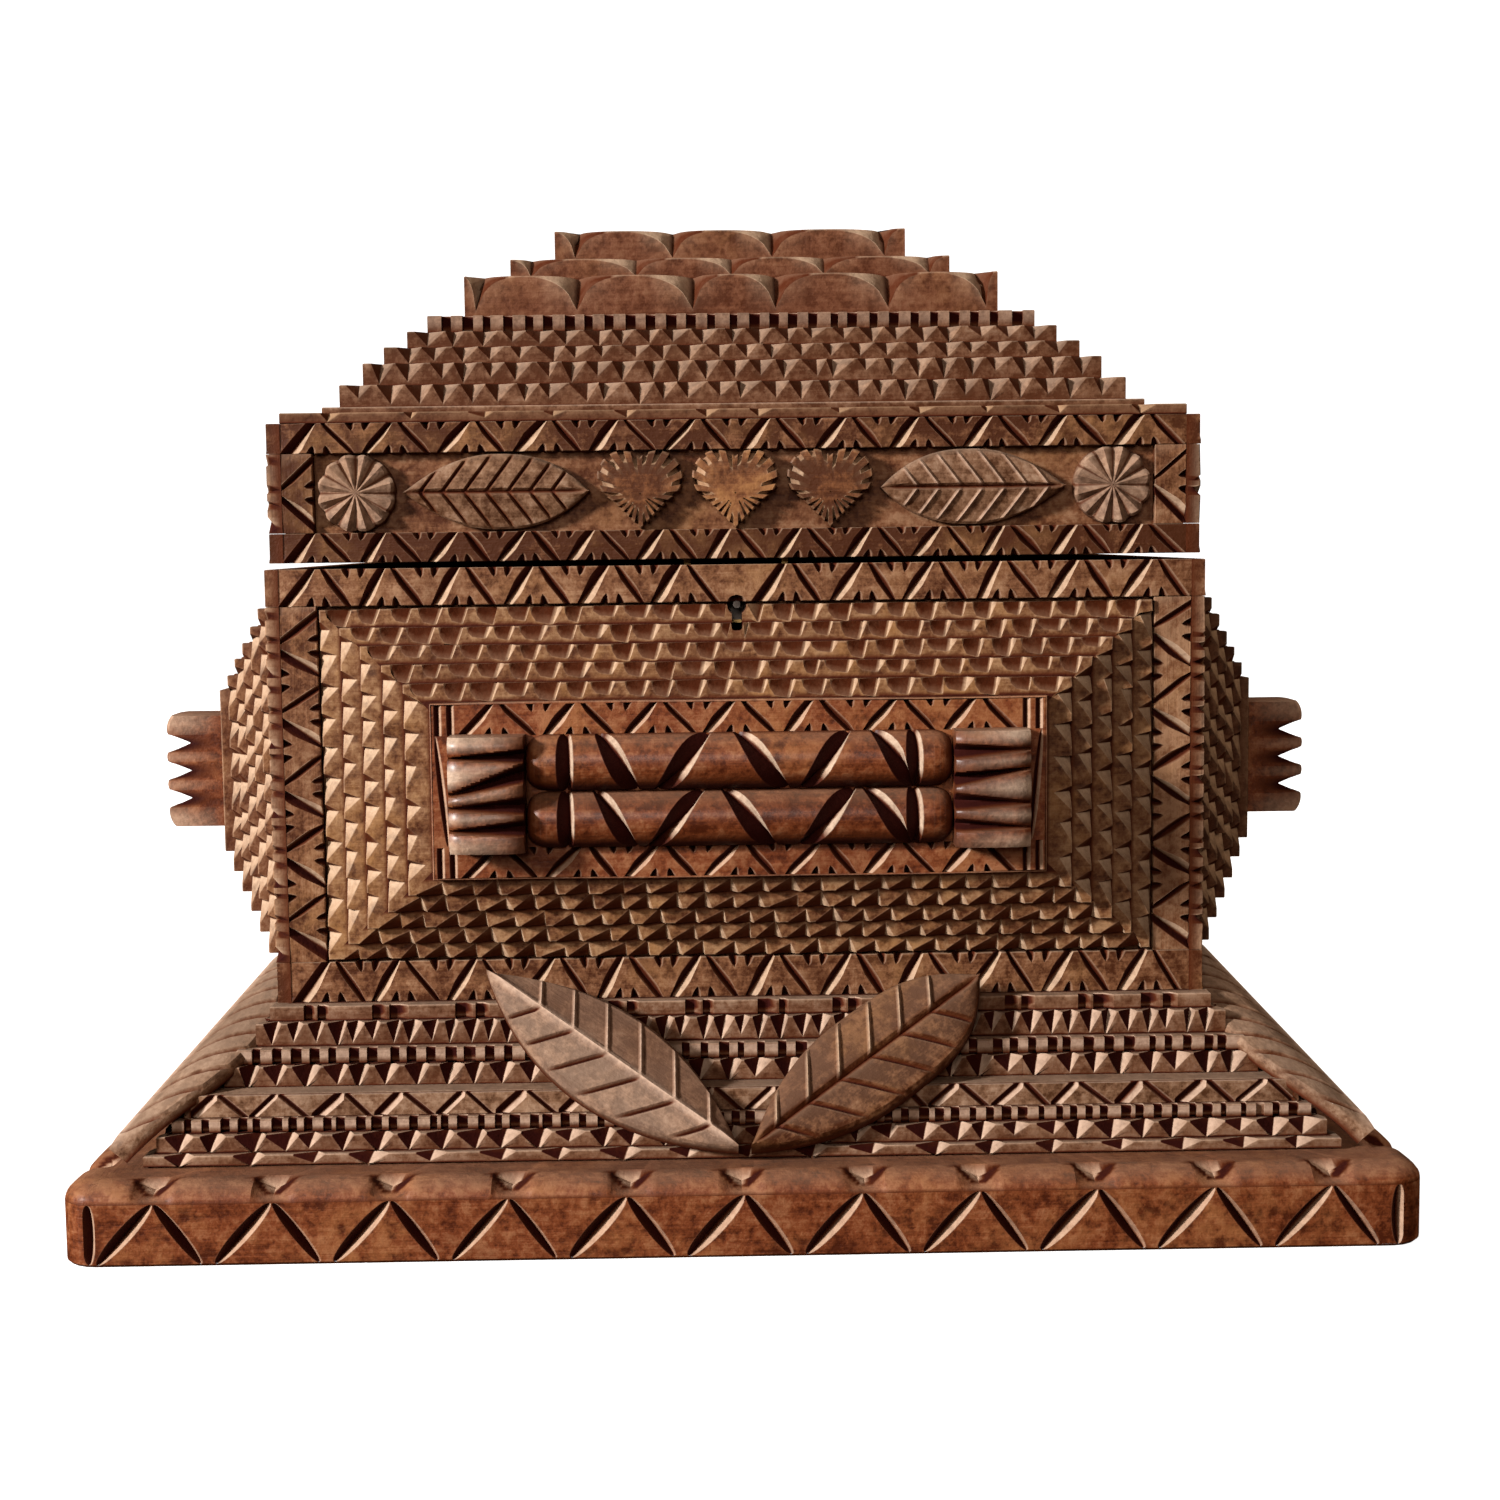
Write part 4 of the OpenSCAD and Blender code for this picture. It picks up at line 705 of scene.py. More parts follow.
# Ridged end block: each groove is (place at the outer side, place at the bars, half width, depth share),
# places and widths as shares of the block's height from its foot. Grooves are narrow at the outer side and
# open towards the bars; the ridges between them and the block's edges are rounded.
def endBlock(piece, place, spec, out, grooves, hand, tone):
    w, h, depth = spec["w"], spec["h"], spec["depth"]
    u = np.linspace(-1, 1, 17)[None]
    v = np.linspace(0, 1, 91)[:, None]
    toward = unit((1 + hand * u) / 2)
    sunk, near = 0.0, 1.0
    for start, stop, half, share in grooves:
        away = np.abs(v - start - (stop - start) * toward)
        wide = half * (spec["lip"] + (1 - spec["lip"]) * toward ** 0.75)
        groove = share * unit(1 - away / wide) ** 0.8
        sunk = np.maximum(sunk, groove * unit(wide / half) ** 0.5)
        near = np.minimum(near, away * len(grooves) * 2)
    ridge = 1.1 * (1 - unit(near)) ** 2
    edges = 1.5 * np.abs(u) ** 5 + 1.6 * unit(np.abs(v - 0.5) * 2) ** 8
    z = out - depth * sunk - ridge - edges
    x, y = u * w / 2 + np.zeros_like(z), (v - 0.5) * h + np.zeros_like(z)
    pts = np.pad(np.stack([x, y, z], -1), ((1, 1), (1, 1), (0, 0)), mode="edge")
    pts[0, :, 2] = pts[-1, :, 2] = pts[:, 0, 2] = pts[:, -1, 2] = 0.0
    # painted highlight on the ridges' crests; painted shade in the grooves, darker towards the bars
    crestHighlight = 0.9 * unit(near * 1.3 - 0.35) * (1 - 0.85 * toward ** 0.7)
    cuts = np.pad(crestHighlight * (sunk < 0.05), 1)
    soilsAndShades = np.pad(unit(sunk * 2.2) + 0.35 * toward ** 3, 1)
    inside = (0, 0, out * 0.3)
    piece.grid(pts, place, inside, cuts, soilsAndShades, tone)
    foot = np.array([[(x, y, 0.0) for x in (-w / 2, w / 2)] for y in (-h / 2, h / 2)])
    piece.grid(foot, place, inside, 0.0, 0.8, tone)


# Half-round bar: points go round the half circle, strokes cut in along its radius, its ends are rounded
def handleBar(piece, place, length, r, yOff, strokes, tone):
    arc = math.pi * r
    ends = np.array([0.25, 0.7, 1.3, 2.2, 3.4, 4.8])

    def around(p):
        turn = math.pi * (1 - p[..., 1] / arc)
        rad = r + p[..., 2]
        return place(np.stack([p[..., 0], yOff + rad * np.cos(turn), rad * np.sin(turn)], -1))

    def barrel(x, y):
        near = unit((5.6 - (length / 2 - np.abs(x))) / 5.6)
        return -0.56 * r * (1 - np.sqrt(unit(1 - near ** 2.4)))

    def grimeAndShade(x, y):
        # painted shade, with dirt, on the lower side of the bar, in the crease along its top and at its ends
        end = unit(1 - (length / 2 - np.abs(x)) / 2.5)
        under, crease = np.clip((0.36 - y / arc) / 0.16, 0, 0.9), np.clip((y / arc - 0.9) / 0.1, 0, 0.7)
        return np.maximum(under, np.maximum(crease, end))
    first = [(-length / 2 + e, -length / 2 + e, 0.02, 0.0, "full") for e in ends]
    last = [(length / 2 - e, length / 2 - e, 0.02, 0.0, "full") for e in ends[::-1]]
    region = (-length / 2, length / 2, 0.0, arc)
    carvedFace(piece, around, region, 0.0, first + strokes + last, tone, (0, arc / 2, -r * 0.6), barrel,
               end=0.2, skew=0.45, grimeAndShade=grimeAndShade, black=1.25)


block = {"length": 136.0, "w": 17.5, "h": 27.4, "depth": 4.6, "lip": 0.1}
sideBlock = {"length": 98.0, "w": 17.5, "h": 29.0, "depth": 6.0, "lip": 0.8}
bar = {"r": 6.7, "gap": 0.1, "half": 2.7, "depth": 3.1, "end": 9.4, "endHalf": 2.0, "endDepth": 2.6}
blockGrooves = {
    -1: [(0.195, 0.22, 0.075, 0.85), (0.39, 0.415, 0.08, 0.8),
         (0.50, 0.69, 0.085, 1.0), (0.82, 0.84, 0.06, 1.0)],
    1: [(0.17, 0.2, 0.06, 0.7), (0.38, 0.40, 0.08, 0.75),
        (0.68, 0.59, 0.06, 1.0), (0.84, 0.83, 0.07, 0.7)]}
sideGrooves = {hand: [(k / 4, k / 4, 0.1, 1.0) for k in (1, 2, 3)] for hand in (-1, 1)}


# Handle: two end blocks with two bars between them, whose slants are (x at the foot, x at the head)
def handle(piece, side, out, spec, reach, grooves, slants):
    place = stand(side, out, panelZ)
    for hand in (-1, 1):
        seat = stand(side, out, panelZ, hand * (spec["length"] - spec["w"]) / 2)
        endBlock(piece, seat, spec, reach - out, grooves[hand], -hand, shade(0.04, 0.32))
    barLen = spec["length"] - 2 * spec["w"] - 0.2
    ring = (bar["endHalf"], bar["endDepth"], "full")
    for row, offset in ((0, bar["r"] + bar["gap"]), (1, -bar["r"] - bar["gap"])):
        e = barLen / 2 - bar["end"]
        strokes = [(-e, -e, *ring)]
        for bottom, top in slants[row]:
            wide, deep = bar["half"] * (1 + 0.08 * rng.normal()), bar["depth"] * (1 + 0.06 * rng.normal())
            strokes.append((bottom, top, wide, deep, "full"))
        strokes.append((e, e, *ring))
        handleBar(piece, place, barLen, bar["r"], offset, strokes, shade(0.05, 0.5))


frontSlants = [[(-24.3, -33.0), (-19.5, -7.6), (11.3, -0.4), (14.3, 25.6), (42.2, 31.8)],
               [(-24.4, -34.0), (-22.0, -8.9), (8.3, -3.6), (14.0, 26.7), (41.6, 29.7)]]
piece = Piece("frontHandle", "case", "wood_red", "front_handle_blocks", "front_handle_bars", look="polished")
reach = -boxOf("front_handle_blocks")[0][1]
handle(piece, front, panelTop + panel["plaqueT"], block, reach, blockGrooves, frontSlants)
piece.build()

sideSlants = [[(-12.0, -19.0), (-6.0, 5.0), (19.0, 12.0)], [(-13.0, -20.0), (-7.0, 4.0), (18.0, 11.0)]]
for name, side in (("left", left), ("right", right)):
    # the right panel takes darker wood and a lower tone: painted shade
    look, tone = ("wood_brown", 0.5) if side == left else ("wood_dark", 0.3)
    piece = Piece(name + "Panel", "case", "wood_brown", name + "_panel", look=look)
    for k in range(5):
        top, size = panelLayer(piece, side, k, sideW, shade(0.06, tone))
    plaque(piece, side, top, plaqueSize(size))
    piece.build()
    piece = Piece(name + "Handle", "case", "wood_red", name + "_handle")
    reach = boxOf("right_handle")[1][0]
    handle(piece, side, top + panel["plaqueT"], sideBlock, reach, sideGrooves, sideSlants)
    piece.build()
piece = Piece("backPanel", "case", "wood_brown", "back_panel")
frameStrips(piece, back, carcass, floorZ, bodyW, bodyH, caseFrame, stripT)
for k in range(5):
    panelLayer(piece, back, k, frontW, shade(0.06))
piece.build()
print("panels and handles made")

# Pedestal: each step has its own row of notches, from the lowest up; the one without has a zigzag
wedges = {"kind": "wedge", "lean": 0.35, "slant": -0.4, "soilAndShade": 1.0}
slits = {"kind": "slot", "slot": 1.8, "bare": 0.85, "vary": 1.5}
stepRows = [
    dict(wedges, pitch=14.5, width=8.0, into=2.6, down=2.2, lean=0.3, soilAndShade=0.95),
    dict(wedges, pitch=7.4, width=6.9, into=3.0, down=3.5),
    dict(slits, pitch=4.0, width=2.1),
    None,
    dict(wedges, pitch=6.7, width=6.0, into=3.2, down=4.7),
    dict(slits, pitch=4.7, width=2.4),
    dict(wedges, pitch=4.7, width=4.4, into=2.8, down=5.0),
    {"kind": "pair", "pitch": 17.6, "width": 7.4, "slot": 1.6},
]
stepZigzag = {"strip": 1.6, "period": 15.0, "tone": 0.55, "half": 1.75, "depth": 1.3, "nicks": 0.0}
stepEdges = []
for number, notch in enumerate(stepRows, 1):
    name, node = "step%d" % number, "step_%d" % number
    lo, hi = boxOf(node)
    size = hi - lo
    stepEdges.append((hi[1] - bodyD / 2, hi[2]))
    if notch:
        nextSize = np.array([bodyW, bodyD, 0.0])
        if number < len(stepRows):
            nextSize = np.diff(boxOf("step_%d" % (number + 1)), axis=0)[0]
        above = tuple((size - nextSize)[:2] / 2)
        boardPiece(name, "case", "wood_tan", node, notch, shade(0.06), above=above)
        continue
    # a plain board with a carved strip along each side
    strip = stepZigzag["strip"]
    cutting = [stepZigzag[key] for key in ("period", "tone", "half", "depth", "nicks")]
    piece = Piece(name, "case", "wood_tan", node)
    board(piece, (size[0] - 2 * strip, size[1] - 2 * strip, size[2]), lie(lo[2]), None, tone=shade(0.06))
    for side, w, out in ((front, size[0], size[1]), (back, size[0], size[1]),
                         (right, size[1], size[0]), (left, size[1], size[0])):
        place = stand(side, out / 2 - strip, lo[2] + size[2] / 2)
        rail(piece, (w, size[2], strip), place, *cutting)
    piece.build()
print("pedestal made")

# Plinth: its face follows a rectangle with round corners, s runs round it from the front left corner
plinthLo, plinthHi = boxOf("plinth")
plinth = {"w": plinthHi[0] - plinthLo[0], "d": plinthHi[1] - plinthLo[1], "h": plinthHi[2], "r": 9.0,
          "foot": 0.7, "face": 14.6, "pair": 26.4, "half": 2.3, "depth": 2.9, "shy": 0.3, "swell": 6.5,
          "cornerHalf": 1.8, "cornerDepth": 2.3}


# Points and outward normals at distance s along four straight runs and quarter circles, and their length
def roundedPath(s, w, d, r):
    quarter = math.pi * r / 2
    runs = np.array([w - 2 * r, quarter, d - 2 * r, quarter] * 2)
    starts = np.concatenate([[0], np.cumsum(runs)])
    s = np.mod(s, starts[-1])
    leg = np.clip(np.searchsorted(starts, s, side="right") - 1, 0, 7)
    t = s - starts[leg]
    side, isArc = leg // 2, leg % 2 == 1
    half = np.where(side % 2 == 0, w / 2, d / 2)
    deep = np.where(side % 2 == 0, d / 2, w / 2)
    turn = np.where(isArc, t / r, 0.0)
    x = np.where(isArc, half - r + r * np.sin(turn), -half + r + t)
    y = np.where(isArc, -deep + r - r * np.cos(turn), -deep)
    nx, ny = np.sin(turn), -np.cos(turn)
    ca, sa = np.cos(side * math.pi / 2), np.sin(side * math.pi / 2)
    spot = np.stack([x * ca - y * sa, x * sa + y * ca], -1)
    return spot, np.stack([nx * ca - ny * sa, nx * sa + ny * ca], -1), starts[-1]


def plinthPlace(p):
    # local x runs round the plinth, y is up, h is out of the face
    far = 8.0  # rings further in than this shrink towards the middle
    spot, normal = roundedPath(p[..., 0], plinth["w"], plinth["d"], plinth["r"])[:2]
    out = p[..., 2:3]
    spot = spot + normal * np.maximum(out, -far)
    spot = spot * (1 + np.minimum(out + far, 0.0) / np.array([plinth["w"] / 2, plinth["d"] / 2]))
    return np.concatenate([spot, p[..., 1:2]], -1)


pathLen = roundedPath(np.array([0.0]), plinth["w"], plinth["d"], plinth["r"])[2]
quarter = math.pi * plinth["r"] / 2
cornerCut, smooth = (plinth["cornerHalf"], plinth["cornerDepth"], "full"), (0.02, 0.0, "full")
strokes, chips, start = [], [], 0.0
for run in (plinth["w"] - 2 * plinth["r"], plinth["d"] - 2 * plinth["r"]) * 2:
    n = round(run / plinth["pair"])
    p = run / n
    for k in range(n):
        a = start + k * p
        wide = plinth["half"] * (1 + 0.08 * rng.normal())
        strokes.append((a + 0.02 * p, a + 0.47 * p, wide, plinth["depth"], "full"))
        strokes.append((a + 0.88 * p, a + 0.51 * p, wide * 0.72, plinth["depth"] * 0.8, "fall"))
        chips.append(a + 0.5 * p + rng.normal(0, 0.02 * p))
    start += run
    for e in (0.12, 0.3, 0.43, 0.57, 0.7, 0.88):
        # the four between the corner's two gouges only carry the surface round
        spot = start + quarter * e
        strokes.append((spot, spot, *(cornerCut if e in (0.12, 0.88) else smooth)))
    start += quarter
piece = Piece("plinthWood", "case", "wood_red", "plinth")
within = (0.0, plinth["h"] / 2, -60.0)
region = (0.0, pathLen, plinth["foot"], plinth["face"])
carvedFace(piece, plinthPlace, region, -plinth["shy"], strokes, 0.45, within, end=0.12, skew=0.1)
# The arris swells between the chips and dips at each of them, pale in the middle of the dip as bare wood and
# a painted highlight, and darkened beside it with painted shade; a painted shade line runs along its foot.
# From there rings run over the upper face to the middle.
chips = np.array(chips)
dips = (chips[:, None] + np.array([-5.4, -4.2, -3.2, -2.4, -1.6, 0, 1.6, 2.4, 3.2, 4.2, 5.4])[None]).ravel()
s = np.unique(np.concatenate([np.linspace(0, pathLen, 421)[:-1], dips % pathLen]))
offset = (s[:, None] - chips[None] + pathLen / 2) % pathLen - pathLen / 2
offset = offset[np.arange(len(s)), np.abs(offset).argmin(1)]
dip = unit(1 - np.abs(offset) / 4.6) ** 0.7
swell = np.sin(math.pi * unit(np.abs(offset) / 13.0) / 2) ** 0.7
rise = plinth["h"] - plinth["face"]
share = np.linspace(0, 1, 9)[:, None]
turn = share * math.pi / 2
bump = unit(np.sin(math.pi * share))
out = -plinth["shy"] - (1 - np.cos(turn)) * plinth["swell"] - dip * 2.6 * bump ** 0.6
up = plinth["face"] + np.sin(turn) * rise * (0.80 + 0.20 * swell) - dip * 2.2 * share
flatRings = np.array([(-0.4, -9.0), (-0.3, -26.0), (-0.3, -plinth["d"] / 2)]) + np.array([plinth["h"], 0.0])
up = np.concatenate([up, flatRings[:, :1] + 0 * s])
out = np.concatenate([out, flatRings[:, 1:] + 0 * s])
fan = unit((share - 0.25) / 0.75)  # chips are wide at the top and end in a point
middle = unit((3.0 * fan - np.abs(offset + 0.6)) / 0.5)
flank = unit((np.abs(offset + 0.6) - 2.7 * fan) / 0.4)
flank = flank * unit((5.8 * np.sqrt(fan) - np.abs(offset)) / 0.7)
none = np.zeros((3, len(s)))
cuts = np.concatenate([middle, none])
soilsAndShades = np.maximum(flank * 0.9, unit(1 - share / 0.13) * 0.6)
soilsAndShades = np.concatenate([soilsAndShades, none + 0.15])
piece.grid(np.stack([s + 0 * up, up, out], -1), plinthPlace, within, cuts, soilsAndShades, 0.55, True)
# the underside closes the board
under = np.array([(plinth["foot"], -plinth["shy"]), (0.0, -1.0), (0.0, -plinth["d"] / 2)])
rings = np.stack([np.broadcast_to(s, (3, len(s))), under[:, :1] + 0 * s, under[:, 1:] + 0 * s], -1)
piece.grid(rings, plinthPlace, within, 0.0, 0.4, 0.4, True)
piece.build()
print("plinth made")

# Leaves lie on the slope from the lowest step's edge to the highest one's
(footOut, footZ), (headOut, headZ) = stepEdges[0], stepEdges[-1]
slope = math.atan2(headZ - footZ, footOut - headOut)
slopeLen = math.hypot(footOut - headOut, headZ - footZ)
# how far the steps' edges stand off the line from the lowest to the highest
seat = max((z - footZ) * math.cos(slope) - (footOut - out) * math.sin(slope) for out, z in stepEdges)


def onSlope(side, half, along, up, turn):
    ct, st = cosSin(turn)
    cs, ss = math.cos(slope), math.sin(slope)
    ca, sa = cosSin(side)

    def place(p):
        a = p[..., 0] * ct - p[..., 1] * st + along
        b = p[..., 0] * st + p[..., 1] * ct + up
        n = p[..., 2] + seat
        y = b * cs - n * ss - half - footOut
        z = b * ss + n * cs + footZ
        return np.stack([a * ca - y * sa, a * sa + y * ca, z], -1)
    return place


leafRows = np.array([0, 0.05, 0.1, 0.18, 0.3, 0.45, 0.62, 0.8, 0.93, 0.985, 1])
leafRows = np.concatenate([-leafRows[:0:-1], leafRows])[:, None]


# Leaf: columns follow the veins, which slant from the midrib towards the tip, so x = s + lean * |y|. Half
# width is a parabola on the foot's side and a blunter curve on the tip's; veins and midrib are raised or
# cut in. With a fold one half bends down round a cylinder.
def leaf(piece, place, spec, direction, tone):
    length, w, t, v = spec["len"], spec["w"], spec["t"], leafRows
    pitch, wide = length / (spec["veins"] + 1.5), spec["veinHalf"]
    centres = -length / 2 + pitch * (np.arange(spec["veins"]) + 0.8)
    offsets = np.array([-1.6, -1, -0.5, 0, 0.5, 1, 1.6]) * wide
    s = np.concatenate([np.linspace(-length / 2, length / 2, 60), (centres[:, None] + offsets).ravel()])
    s = np.unique(np.clip(s, -length / 2, length / 2))[None]

    def halfWidth(x):
        e = np.abs(2 * x / length)
        return w / 2 * unit(1 - np.where(x < 0, e ** 2, e ** spec["blunt"]))
    lo, hi = s + 0 * v, s + spec["lean"] * w / 2 + 0 * v
    for _ in range(34):  # halving finds where each column is at that half width
        mid = (lo + hi) / 2
        inside = s + spec["lean"] * np.abs(v) * halfWidth(mid) - mid > 0
        lo, hi = np.where(inside, mid, lo), np.where(inside, hi, mid)
    x = np.clip((lo + hi) / 2, -length / 2, length / 2)
    hw = halfWidth(x)
    y, e = v * hw, np.abs(v)
    h = t - spec["crown"] * v ** 2 - 0.5 * spec["crown"] * unit((e - 0.9) / 0.1) ** 2
    fade = unit(e / 0.12) * unit((1.02 - e) / 0.25) * unit(hw / (0.14 * w))
    closest = np.abs(s[..., None] - centres).min(-1)
    line = unit(1 - closest / wide) * fade
    raised = np.where(v > 0, spec["upper"], spec["lower"])
    rib = unit(1 - np.abs(y) / spec["ribHalf"]) * unit((length / 2 - np.abs(x)) / 4.0)
    hollow = 0.35 * np.sin(math.pi * unit(e)) * (spec["rib"] > 0)
    h = np.maximum(h + line * raised + rib ** 0.8 * spec["rib"] - hollow, 0.6)
    pts = np.stack([direction * x, y, h], -1)
    rim = pts[[0, -1]].copy()
    rim[..., 2] = 0.0
    full = np.concatenate([rim[:1], pts, rim[1:]])
    # raised veins and rib are made pale as a painted highlight, cut-in ones dark with painted shade; pale
    # and dim paint one half lighter and the other darker as painted light; the rim gets painted shade
    cuts = line * (raised > 0) * 0.8 + rib * (spec["rib"] > 0) + spec.get("pale", 0.0) * (v < -0.06)
    cuts = np.pad(unit(cuts), ((1, 1), (0, 0)))
    soilsAndShades = line * (raised < 0) * 0.95 + rib * (spec["rib"] < 0) * 0.8
    soilsAndShades = np.maximum(soilsAndShades, spec.get("dim", 0.0) * (v > 0.06) * (1 - line * (raised > 0)))
    soilsAndShades = np.pad(soilsAndShades, ((1, 1), (0, 0)), constant_values=0.8)
    fold = spec.get("fold", 1e6)

    def folded(p):
        # the half with y above 0 bends down round a cylinder of radius fold
        turn = np.clip(p[..., 1], 0, None) / fold
        over, rad = p[..., 1] > 0, fold + p[..., 2]
        y = np.where(over, rad * np.sin(turn), p[..., 1])
        h = np.where(over, rad * np.cos(turn) - fold, p[..., 2])
        return place(np.stack([p[..., 0], y, h], -1))
    inside = (0, 0, t * 0.4)
    piece.grid(full, folded, inside, cuts, soilsAndShades, tone)
    piece.grid(rim, folded, inside, 0.0, 0.8, tone)


stepLeaf = {"len": 77.0, "w": 25.0, "t": 5.4, "crown": 1.6, "veins": 6, "lean": 0.8, "veinHalf": 0.95,
            "blunt": 2.0, "upper": 0.8, "lower": -1.0, "rib": 0.9, "ribHalf": 1.3}
# painted highlight on one half of the left leaf, painted shade on the other
leftLeaf = dict(stepLeaf, pale=0.24, dim=0.22)
rightLeaf = dict(stepLeaf, len=72.0, blunt=3.6, rib=-1.1, ribHalf=0.9, upper=0.9, dim=0.1)
sideLeaf = dict(stepLeaf, w=28.0, crown=2.4, veins=10, upper=-1.3, rib=0.6, fold=14.0)
leafPlace = {"lean": 38.0, "rise": 1.5, "gap": 3.0, "sideLean": 36.0}
for name, hand, spec, look in (("leaf_front_left", -1, leftLeaf, "wood_tan"),
                               ("leaf_front_right", 1, rightLeaf, "wood_brown")):
    piece = Piece(name.replace("_", "") + "Wood", "case", "wood_tan", name, look=look)
    lean = math.radians(leafPlace["lean"])
    reach = spec["len"] / 2 * math.cos(lean) + leafPlace["gap"] / 2
    short = (stepLeaf["len"] - spec["len"]) / 2 * math.sin(lean)
    up = slopeLen / 2 + leafPlace["rise"] - short
    place = onSlope(front, bodyD / 2, hand * reach, up, hand * leafPlace["lean"])
    leaf(piece, place, spec, hand, 0.17 - 0.05 * hand)
    piece.build()
for name, side in (("leaves_left", left), ("leaves_right", right)):
    piece = Piece(name.replace("_", "") + "Wood", "case", "wood_tan", name)
    for hand in (-1, 1):
        place = onSlope(side, bodyW / 2, hand * bodyD / 2, slopeLen / 2, -hand * leafPlace["sideLean"])
        leaf(piece, place, sideLeaf, -hand, 0.6)
    piece.build()
print("leaves made")

# Lid boards and crown
chipped = {"kind": "wedge", "pitch": 17.0, "width": 5.0, "into": 3.0, "down": 1.6, "vary": 2.0}
boardPiece("lidTop", "lid", "wood_dark", "lid_top", chipped, 0.75)
thickNotch = {"kind": "wedge", "pitch": 6.6, "width": 6.2, "into": 3.6, "down": 4.4, "lean": -0.1,
              "soilAndShade": 0.55, "pale": 0.18}
thinNotch = dict(thickNotch, down=3.2, pitch=6.8)
slots = {"kind": "slot", "pitch": 5.0, "width": 2.4, "slot": 2.0, "bare": 0.4}
lidRows = [None, thickNotch, thickNotch, thinNotch, thinNotch, slots]
for number, notch in enumerate(lidRows, 1):
    name, node = "lidLayer%d" % number, "lid_layer_%d" % number
    boardPiece(name, "lid", "wood_brown", node, notch, shade(0.05, 0.2), "wood_tan")
for number, tip, centre in ((1, 3.0, 0.5), (2, 5.5, 0.5), (3, 5.5, 0.08)):
    name, node = "crown%d" % number, "crown_%d" % number
    lo, hi = boxOf(node)
    t = hi[2] - lo[2]
    # each scoop is pale on one side as a painted highlight and darkened on the other with painted shade
    notch = {"kind": "scallop", "pitch": 26.0, "tip": tip, "into": 0.9 * t, "down": 0.8 * t, "soilAndShade": 0.6,
             "show": 9.0}
    boardPiece(name, "lid", "wood_red", node, notch, shade(0.05, 0.42), "crown", centre=centre)
print("lid made")

# Ornaments on the lid's band
heartLo, heartHi = boxOf("hearts")
bandZ = (heartLo[2] + heartHi[2]) / 2
ornamentT = heartHi[1] - heartLo[1]
bandH = heartHi[2] - heartLo[2]
heart = {"lobe": 0.52, "teeth": 22, "deep": 0.9, "into": 1.9, "down": 1.7, "gap": 2.2}


# Heart: a square on its corner and two lobes, as a radius round the middle, with teeth cut into its arris
def heartGrid(piece, place, s, t, tone):
    count = heart["teeth"]
    turns = np.arange(count)[:, None] + np.array([0.25, 0.32, 0.68, 0.75, 0.98])
    share = np.array([0, 1, 1, 0, 0]) * np.clip(1 + rng.normal(0, 0.2, (count, 1)), 0.5, 1.3)
    a, share = turns.ravel() / count * 2 * math.pi - math.pi / 2, share.ravel()
    dx, dy = np.cos(a), np.sin(a)
    diamond = s * math.sqrt(0.5) / (np.abs(dx) + np.abs(dy))
    spot, rho = s * math.sqrt(2) / 4, s * heart["lobe"]
    toward = np.abs(dx) * spot + dy * spot
    reach = toward ** 2 - (2 * spot ** 2 - rho ** 2)
    lobe = np.where(reach > 0, toward + np.sqrt(np.clip(reach, 0, None)), 0.0)
    r = np.maximum(diamond, lobe)
    cutIn = (heart["into"] + heart["deep"]) * share
    outer = r - heart["deep"] * share
    # the heart's foot is darkened with painted shade; its teeth are pale bare wood
    rings = [(outer, 0.0, 0.0, 0.5), (outer, t - 0.3 - heart["down"] * share, 0.4, 0.05),
             (r - 0.4 - cutIn, t, 0.7, 0.0), (r - 0.7 - cutIn, t, 0.1, 0.0),
             (r * 0.45, t, 0.0, 0.05), (r * 0.02, t, 0.0, 0.05)]
    pts, cuts, soilsAndShades = [], [], []
    for radius, h, cutMark, soilAndShade in rings:
        pts.append(np.stack([radius * dx, radius * dy, h + 0 * a], -1))
        cuts.append(cutMark * (0.35 + 0.65 * unit(share)))
        soilsAndShades.append(soilAndShade + 0 * a)
    piece.grid(np.stack(pts), place, (0, 0, t / 2), np.stack(cuts), np.stack(soilsAndShades), tone, True)


heartS = bandH / (3 * math.sqrt(2) / 4 + heart["lobe"])
heartDrop = heartS * (heart["lobe"] - math.sqrt(2) / 4) / 2
heartPitch = 2 * heartS * (math.sqrt(2) / 4 + heart["lobe"]) + heart["gap"]
piece = Piece("heartsWood", "lid", "wood_gold", "hearts")
for k, tone in ((-1, 0.15), (0, 0.62), (1, 0.22)):
    heartGrid(piece, stand(front, carcass, bandZ - heartDrop, k * heartPitch), heartS, ornamentT, tone)
piece.build()


